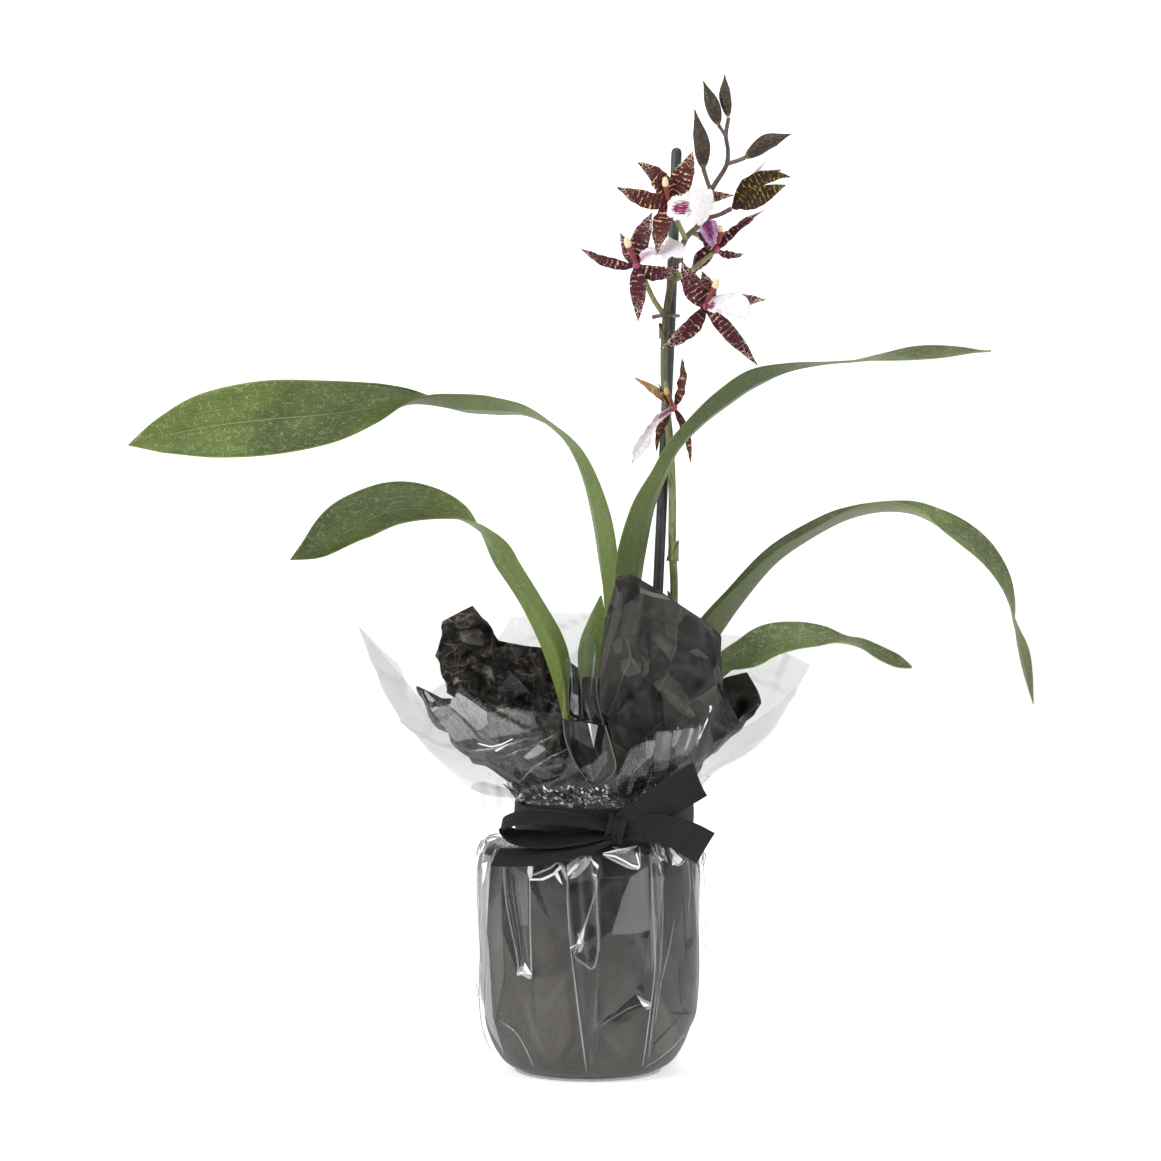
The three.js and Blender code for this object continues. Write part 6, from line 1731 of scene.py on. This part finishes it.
def makeFolds(film, tissue, rolls, paper):
    graph = bpy.context.evaluated_depsgraph_get()
    outer = [BVHTree.FromObject(sheet, graph) for sheet in (film, tissue, rolls)]
    crisp, shine, bright = filmFinish("foldedFilm", 0.06, 0.0, 0.6), sheenFinish(), glintFinish()

    def fold(name, lead, line, turn):
        return foldPiece(name, line, turn, *lead, outer[0], crisp)

    def gap(name, lead, outline, turn):
        return patchPiece(name, outline, turn, outer[1:2], 0.35, {"tone": -0.85, "flare": 0}, paper)

    def sheen(name, lead, outline, turn):
        return patchPiece(name, outline, turn, outer, 0.5, {"sheen": lead[0]}, shine)

    def glint(name, lead, outline, turn):
        return patchPiece(name, outline, turn, outer, 0.7, {"sheen": 0.9}, bright)
    settle(mergePieces("film_folds", allRound(filmFolds, 2, 3, fold, 9)), [])
    # painted shade where the paper stands off the film, then painted light and shade on the facets of the
    # crumpled paper and on the pot
    shadeGaps = allRound(paintedShadeGaps, 0, 2, gap)
    front = shadeGaps[:len(paintedShadeGaps)]
    for tone, *outline in paperLightAndShade:
        front.append(patchPiece("facet", outline, 0.0, outer[1:2], 0.25,
                                {"tone": tone, "flare": 1, "crushed": outline[0] < -20}, paper))
    for tone, *outline in potLightAndShade:
        front.append(patchPiece("drawn", outline, 0.0, outer[1:2], 0.3, {"tone": tone, "flare": 0}, paper))
    settle(mergePieces("tissue_facets", front + shadeGaps[len(paintedShadeGaps):]), [])
    settle(mergePieces("film_sheens", allRound(sheens, 1, 2, sheen, 0.5)), [])
    sharp = allRound(glints, 0, 2, glint) + shardPieces(outer[0], bright)
    settle(mergePieces("film_glints", sharp), [])


shardForm = {"count": 36, "front": 60, "sector": [225, 272], "far": 120, "low": 157, "high": 169,
             "size": [0.6, 2.3], "seed": 12}


def shardPieces(ground, material):
    # crushed film above the ribbon flashes in small bright facets
    form = shardForm
    random = np.random.default_rng(form["seed"])
    shards = []
    for i in range(form["count"] + form["front"]):
        angle = random.uniform(*((0, 360) if i < form["count"] else form["sector"]))
        turn = math.radians(angle)
        height = random.uniform(form["low"], form["high"])
        start = Vector((neckX + form["far"] * math.cos(turn), form["far"] * math.sin(turn), height)) * mm
        hit, normal, _, _ = ground.ray_cast(start, Vector((-math.cos(turn), -math.sin(turn), 0)))
        if hit is None:
            continue
        normal = -normal if normal.dot(start - hit) < 0 else normal
        side = normal.orthogonal().normalized()
        up = normal.cross(side)
        wide, tall = random.uniform(*form["size"], 2)
        lean = random.uniform(0, 2 * math.pi)
        points = []
        for k in range(3):
            a = lean + k * 2.1 + random.uniform(-0.3, 0.3)
            offset = side * math.cos(a) * wide * 0.5 + up * math.sin(a) * tall
            points.append(list(hit / mm + offset + normal * random.uniform(0.4, 1.4)))
        shards.append(makePiece("shard" + str(i), points, [(0, 1, 2)], {"sheen": random.uniform(0.35, 1)},
                                [[0, 0], [0.1, 0], [0, 0.1]], material))
    return shards


crinkleForm = {
    "columns": 420, "rows": 13, "low": 155.5, "high": 168, "inner": 50.5, "outer": 56.5, "rough": 1.5,
    "seed": 5,
}


def makeCrinkle(material):
    # the crushed frill of film just above the ribbon
    form = crinkleForm
    random = np.random.default_rng(form["seed"])
    columns, rows = form["columns"], form["rows"]
    turn = np.arange(columns) / columns
    rise = np.linspace(0, 1, rows)[:, None]
    rough = random.uniform(-1, 1, (rows, columns))
    rough = (rough + np.roll(rough, 1, axis=1) + np.roll(rough, -1, axis=1)) / 1.8
    pleat = ringNoise(turn, 90, form["seed"] + 2)[None, :] * (0.6 + 1.4 * rise)
    radius = form["inner"] + (form["outer"] - form["inner"]) * rise ** 1.5
    radius = radius + (rough * form["rough"] * 0.6 + pleat) * np.minimum(rise * 3, 1)
    tall = (form["high"] - form["low"]) * (0.75 + 0.25 * ringNoise(turn, 22, 8))
    height = form["low"] + tall[None, :] * rise + rough * 0.5
    # the roughest bits are marked white, partly crushed film and partly a painted highlight
    crease = np.clip(np.abs(rough) * 0.9 - 0.25, 0, 1) * np.sin(rise * math.pi) ** 0.5
    uv = np.column_stack([np.tile(turn * 33, rows), np.repeat(rise, columns)])
    frill = makePiece("film_crinkle", roundAbout(radius, height, turn * 2 * math.pi, neckX),
                      gridFaces(rows, columns, closed=True), {"crease": crease, "flare": 0}, uv, material,
                      smooth=False)
    settle(thicken(frill, wrapForm["film"]["thickness"]), [])


# rolled corners of the paper in the front, open towards it: left edge, right edge, how deep
hollowForm = {
    "rows": 40, "columns": 28,
    "rolls": {
        "cup": [
            [[-15.2, -67, 206.8], [-14.2, -67, 196.8], [-9.7, -67, 184.7], [-0.7, -67, 171.1]],
            [[8.4, -67, 203.8], [12.2, -67, 190.8], [14.2, -67, 179.1], [5.9, -67, 170.3]], 10],
        "slot": [
            [[-4.7, -58, 229.2], [-5.2, -58, 219.1], [-4.5, -58, 211.1], [-3.5, -58, 205.8]],
            [[3.4, -60, 229.4], [3.9, -60, 219.3], [5.4, -60, 211.2], [7.6, -60, 204.2]], 9],
        "tube": [
            [[-11.7, -59, 229.3], [-12.2, -59, 221.2], [-12.1, -59, 214.2], [-11.7, -59, 208.9]],
            [[-5.7, -60, 230.4], [-4.7, -60, 222.3], [-4.6, -60, 213.3], [-5.5, -60, 205]], 7],
    },
}


def hollowPiece(name, left, right, deep, material):
    # a trough of paper between two edges, with a rolled lip along each
    rows, columns = hollowForm["rows"], hollowForm["columns"]
    places = np.linspace(0, 1, rows)
    left, right = throughPoints(left, places), throughPoints(right, places)
    spread = np.linspace(-1, 1, columns)
    size = np.abs(spread)
    share = spread[None, :, None]
    points = left[:, None, :] * (1 - share) / 2 + right[:, None, :] * (1 + share) / 2
    push = deep * (1 - size ** 2.2)[None, :] * (1 - 0.55 * places[:, None])
    ripple = 0.35 * np.sin(spread * 9)[None, :] * np.sin(places * 7)[:, None]
    points[:, :, 1] += push + ripple - 1.2 * np.exp(-((size - 0.94) / 0.05) ** 2)[None, :]
    uv = np.column_stack([np.tile(spread, rows), np.repeat(places * 6, columns)])
    trough = makePiece(name, points, gridFaces(rows, columns),
                       {"crease": np.tile(size > 0.93, rows), "flare": 1}, uv, material)
    return thicken(trough, wrapForm["tissue"]["thickness"])


def makeWraps():
    form = wrapForm
    paper = tissueFinish("tissueBlack", "#3e3b38", "#4a4744", "#1b1a18", "#2b2926")
    # the rolled corners take a darker copy of the paper, painted shade inside them, with a stronger painted
    # highlight along their lips
    rolled = tissueFinish("tissueRolled", "#151413", "#1f1d1c", "#161514", "#22211f", 0.9)
    tissue = wrapPiece("tissue_paper", form["tissueBody"], form["tissueGuides"], form["tissue"], paper)
    settle(tissue, ["tissue_wrap"])
    film = wrapPiece("film_sheet", form["filmBody"], form["filmGuides"], form["film"],
                     filmFinish("clearFilm", 0.12, 0.04, 0.2))
    settle(film, ["film_wrap"])
    rolls = mergePieces("tissue_rolls", [hollowPiece(name, *roll, rolled)
                                         for name, roll in hollowForm["rolls"].items()])
    settle(rolls, [])
    makeFolds(film, tissue, rolls, paper)
    loose = filmFinish("crushedFilm", 0.12, 0.1, 0.9)
    makeCrinkle(loose)
    makeLobe(loose)
    print("tissue and film folded")


makeWraps()


ribbonForm = {
    "thick": 0.5, "across": 10, "steps": 90, "low": 139.5, "high": 155, "inner": 50.1, "bandColumns": 300,
    "strips": {
        "ribbon_loop_left": [
            [12, -57, 146, 9, 0, 0.9, 0.4], [-8, -59, 150.5, 14, 0, 0.9, 0.4],
            [-28, -58, 152, 17, 0, 0.92, 0.36], [-42, -54, 150.5, 18, 0, 0.92, 0.3],
            [-49.5, -50.5, 146, 18, 0, 0.95, 0.25], [-44, -52, 141, 18, 0, 0.92, 0.34],
            [-28, -57.5, 138.5, 17, 0, 0.88, 0.44], [-8, -60, 139, 13, 0, 0.88, 0.44],
            [12, -58, 142, 9, 0, 0.9, 0.4]],
        "ribbon_loop_right": [
            [16, -58, 148, 10, -0.3, 0, 0.95], [28, -61, 154, 15, -0.34, 0, 0.94],
            [42, -61, 161.5, 19, -0.38, 0, 0.92], [54, -56, 168.5, 20.5, -0.38, 0, 0.92],
            [60.5, -51.5, 171.8, 20.5, -0.36, 0, 0.93], [60, -48.5, 171, 20, -0.34, 0, 0.94],
            [47, -51.5, 164.5, 18, -0.3, 0, 0.95], [31, -55, 155, 14, -0.26, 0, 0.96],
            [16, -56.5, 146, 9, -0.2, 0, 0.98]],
        "ribbon_tail_right": [
            [16, -57.5, 143, 9, 0.3, 0, 0.95], [30, -62, 146, 14, 0.26, 0, 0.96],
            [44, -63.5, 144.5, 17, 0.3, 0, 0.95], [55, -59, 139.5, 19, 0.38, 0, 0.92],
            [64.3, -52.5, 133.5, 20, 0.44, 0, 0.9]],
        "ribbon_tail_left": [
            [12, -58.5, 141, 9, 0, 0.88, 0.46], [-2, -64, 136, 13, 0, 0.88, 0.46],
            [-20, -66, 132, 16, 0, 0.88, 0.48], [-38, -63, 130, 17, 0.05, 0.88, 0.48],
            [-53, -57.5, 129.5, 17, 0.1, 0.87, 0.48]],
    },
    "knot": [[14, -57.5, 144.8], [6.4, 5.4, 7.6]],
}


def ribbonFinish():
    # black woven ribbon with fine ribs across it and firm edges
    ribbon = Finish("ribbonBlack", Specular_IOR_Level=0.16, Sheen_Weight=0.04)
    flat = ribbon.flat()
    ribs = ribbon.math("SINE", ribbon.axis(flat, "Y") * 52)
    edge = ribbon.fade(ribbon.math("ABSOLUTE", ribbon.value("across")), 0.86, 0.93)
    thread = ribbon.noise(ribbon.stretched(flat, 60, 8, 1), 1.0, 2)
    cloud = ribbon.noise(ribbon.point(), 60, 3)
    colour = ribbon.mix(ribbon.fade(ribs, -0.5, 0.8), "#0a0909", "#2b2827")
    colour = ribbon.mix(ribbon.fade(cloud, 0.45, 0.75) * 0.3, colour, "#2a2827")
    ribbon.set(Base_Color=ribbon.mix(edge * 0.3, colour, "#1c1a1a"), Roughness=0.58 + thread * 0.2)
    ribbon.bump(ribs * 0.5 * (1 - edge) + thread * 0.3, 0.0003, 0.9)
    return ribbon.material


def stripPiece(name, rows, form, material):
    # a flat woven strip along rows of [x, y, z, width, across x, y, z]
    rows = np.asarray(rows, float)
    count, lines = form["across"] + 1, form["steps"] + 1
    places = np.linspace(0, 1, lines)
    centre, along, run = pathThrough(rows, places)
    half = throughPoints(rows[:, 3:4], places, 0.5) / 2
    side = throughPoints(rows[:, 4:7], places, 0.5)
    side = unit(side - along * np.sum(side * along, axis=1, keepdims=True))
    spread = np.linspace(-1, 1, count)[None, :]
    # gathered narrow near the knot, so it folds lengthways there
    gather = np.clip(1 - half / 8, 0, 1) * 1.6 * np.cos(spread * math.pi * 2.2)
    points = beside(centre, side, np.cross(along, side), half * spread, gather + 0.35 * spread ** 2)
    uv = np.column_stack([(half * spread).ravel() / 10, np.repeat(run / 10, count)])
    strip = makePiece(name, points, gridFaces(lines, count), {"across": np.tile(spread[0], lines)}, uv,
                      material)
    return thicken(strip, form["thick"]), run[-1], half


def makeRibbon():
    form = ribbonForm
    finish = ribbonFinish()
    columns, rows = form["bandColumns"], 11
    turn = np.arange(columns) / columns
    angle = turn * 2 * math.pi
    spread = np.linspace(-1, 1, rows)
    middle, half = (form["low"] + form["high"]) / 2, (form["high"] - form["low"]) / 2
    radius = form["inner"] + 0.5 + 0.5 * (1 - spread[:, None] ** 2) + 0.25 * ringNoise(turn, 40, 3)[None, :]
    lift = 0.5 * np.sin(angle * 3 + 1) + 0.3 * np.sin(angle * 5)
    height = middle + spread[:, None] * half * 0.97 + lift[None, :] * 0.4
    uv = np.column_stack([np.repeat(spread * half / 10, columns), np.tile(turn * 32.4, rows)])
    band = makePiece("ribbon_wrap", roundAbout(radius, height, angle, neckX),
                     gridFaces(rows, columns, closed=True), {"across": np.repeat(spread, columns)}, uv,
                     finish)
    settle(thicken(band, form["thick"]), ["ribbon_band"])
    2 * half * mm
    for name, strip in form["strips"].items():
        piece, length, halves = stripPiece(name, strip, form, finish)
        settle(piece, ["ribbon_bow"])
        held = "folded" if "loop" in name else "hung"
    knot = knotPiece("ribbon_knot", *form["knot"], finish)
    settle(knot, ["ribbon_bow"])
    print("ribbon tied")


def knotPiece(name, centre, size, material):
    # the short turn of ribbon pinched round the middle of the bow
    columns, rows = 64, 17
    turn = np.arange(columns) / columns
    angle = (turn * 2 * math.pi)[None, :]
    spread = np.linspace(-1, 1, rows)
    run = spread[:, None]
    x, y, z = centre
    wide, deep, tall = size
    pinch = 0.78 + 0.22 * run ** 2
    crease = 0.45 * np.cos(run * math.pi * 2.6 + 0.6) * (1 + 0.5 * np.sin(angle * 2))
    height = z + (tall * pinch + crease) * np.sin(angle) - run * 1.6
    points = np.stack([x + run * wide * 0.82 + (height - z) * 0.3,
                       y + (deep * pinch + crease) * np.cos(angle), height], axis=2)
    uv = np.column_stack([np.repeat(spread * 0.8, columns), np.tile(turn * 4.6, rows)])
    knot = makePiece(name, points, gridFaces(rows, columns, closed=True),
                     {"across": np.repeat(spread, columns)}, uv, material)
    return thicken(knot, ribbonForm["thick"])


makeRibbon()


studio = {
    "lens": 117.6, "distance": 2.162, "target": (-0.0054, 0, 0.2804), "elevation": 3, "floorSize": 5.6,
    "world": 0.16,
    "lights": {
        "keyLeft": [(-1.5, -1, 1), 1.1, 25], "fillRight": [(1.5, -0.9, 0.8), 1, 12],
        "topSoft": [(0.1, -0.3, 1.9), 1, 17], "rim": [(-0.3, 1.5, 0.9), 0.7, 5],
    },
}


def aim(holder, place, target):
    holder.location = place
    holder.rotation_euler = (target - Vector(place)).to_track_quat("-Z", "Y").to_euler()


def sweepFinish():
    # lit from within behind the plant, and plain paper in front of it and on the side walls
    paper = Finish("paperSweep", Roughness=0.9, Specular_IOR_Level=0.1, Emission_Strength=0.76)
    place = paper.point()
    grain = paper.fade(paper.noise(place, 40, 3), 0.3, 0.7)
    high = paper.axis(place, "Z")
    aside = paper.fade(paper.math("ABSOLUTE", paper.axis(place, "X")), 1.3, 2.6) * paper.fade(high, 0.0, 0.3)
    lit = paper.fade(paper.axis(place, "Y"), -0.5, -0.2) * (1 - aside)
    glow = paper.mix(paper.fade(high, 0.0, 0.03), "#dddddd", "#ffffff")
    paper.set(Base_Color=paper.mix(grain, "#fbfbfb", "#fdfdfd"),
              Emission_Color=paper.mix(lit, "#303030", glow))
    paper.material.cycles.emission_sampling = "NONE"  # the walls are too large to be sampled as lamps
    return paper.material


def makeStudio():
    # a round room: floor, cove and wall in one
    size = studio["floorSize"]
    bend = [[0.02, 0], [size * 0.35, 0], [size * 0.72, 0], [size * 0.84, 0.06], [size * 0.94, 0.5],
            [size, 1.4], [size, 3.6]]
    line = throughPoints(bend, np.linspace(0, 1, 50))
    turn = np.linspace(0, 2 * math.pi, 97)[:-1]
    points = [[far * math.cos(a) * 1000, far * math.sin(a) * 1000, max(z, 0) * 1000]
              for far, z in line for a in turn]
    faces = [face[::-1] for face in gridFaces(len(line), len(turn), closed=True)] + [list(range(len(turn)))]
    makePiece("paper_sweep", points, faces, material=sweepFinish())
    world = bpy.data.worlds.new("softRoom")
    world.use_nodes = True
    air = world.node_tree.nodes["Background"].inputs
    air["Color"].default_value = (1, 1, 1, 1)
    air["Strength"].default_value = studio["world"]
    bpy.context.scene.world = world
    target = Vector(studio["target"])
    for name, (place, wide, power) in studio["lights"].items():
        lamp = bpy.data.lights.new(name, "AREA")
        lamp.shape = "SQUARE"
        lamp.size = wide
        lamp.energy = power
        aim(addObject(name, lamp), place, target)
    tilt = math.radians(studio["elevation"])
    camera = bpy.data.cameras.new("view")
    camera.lens = studio["lens"]
    camera.sensor_width = 36
    camera.clip_end = 50
    holder = addObject("view", camera)
    aim(holder, target + Vector((0, -math.cos(tilt), math.sin(tilt))) * studio["distance"], target)
    bpy.context.scene.camera = holder
    bpy.context.scene.view_settings.view_transform = "Standard"
    print("studio lit")


makeStudio()
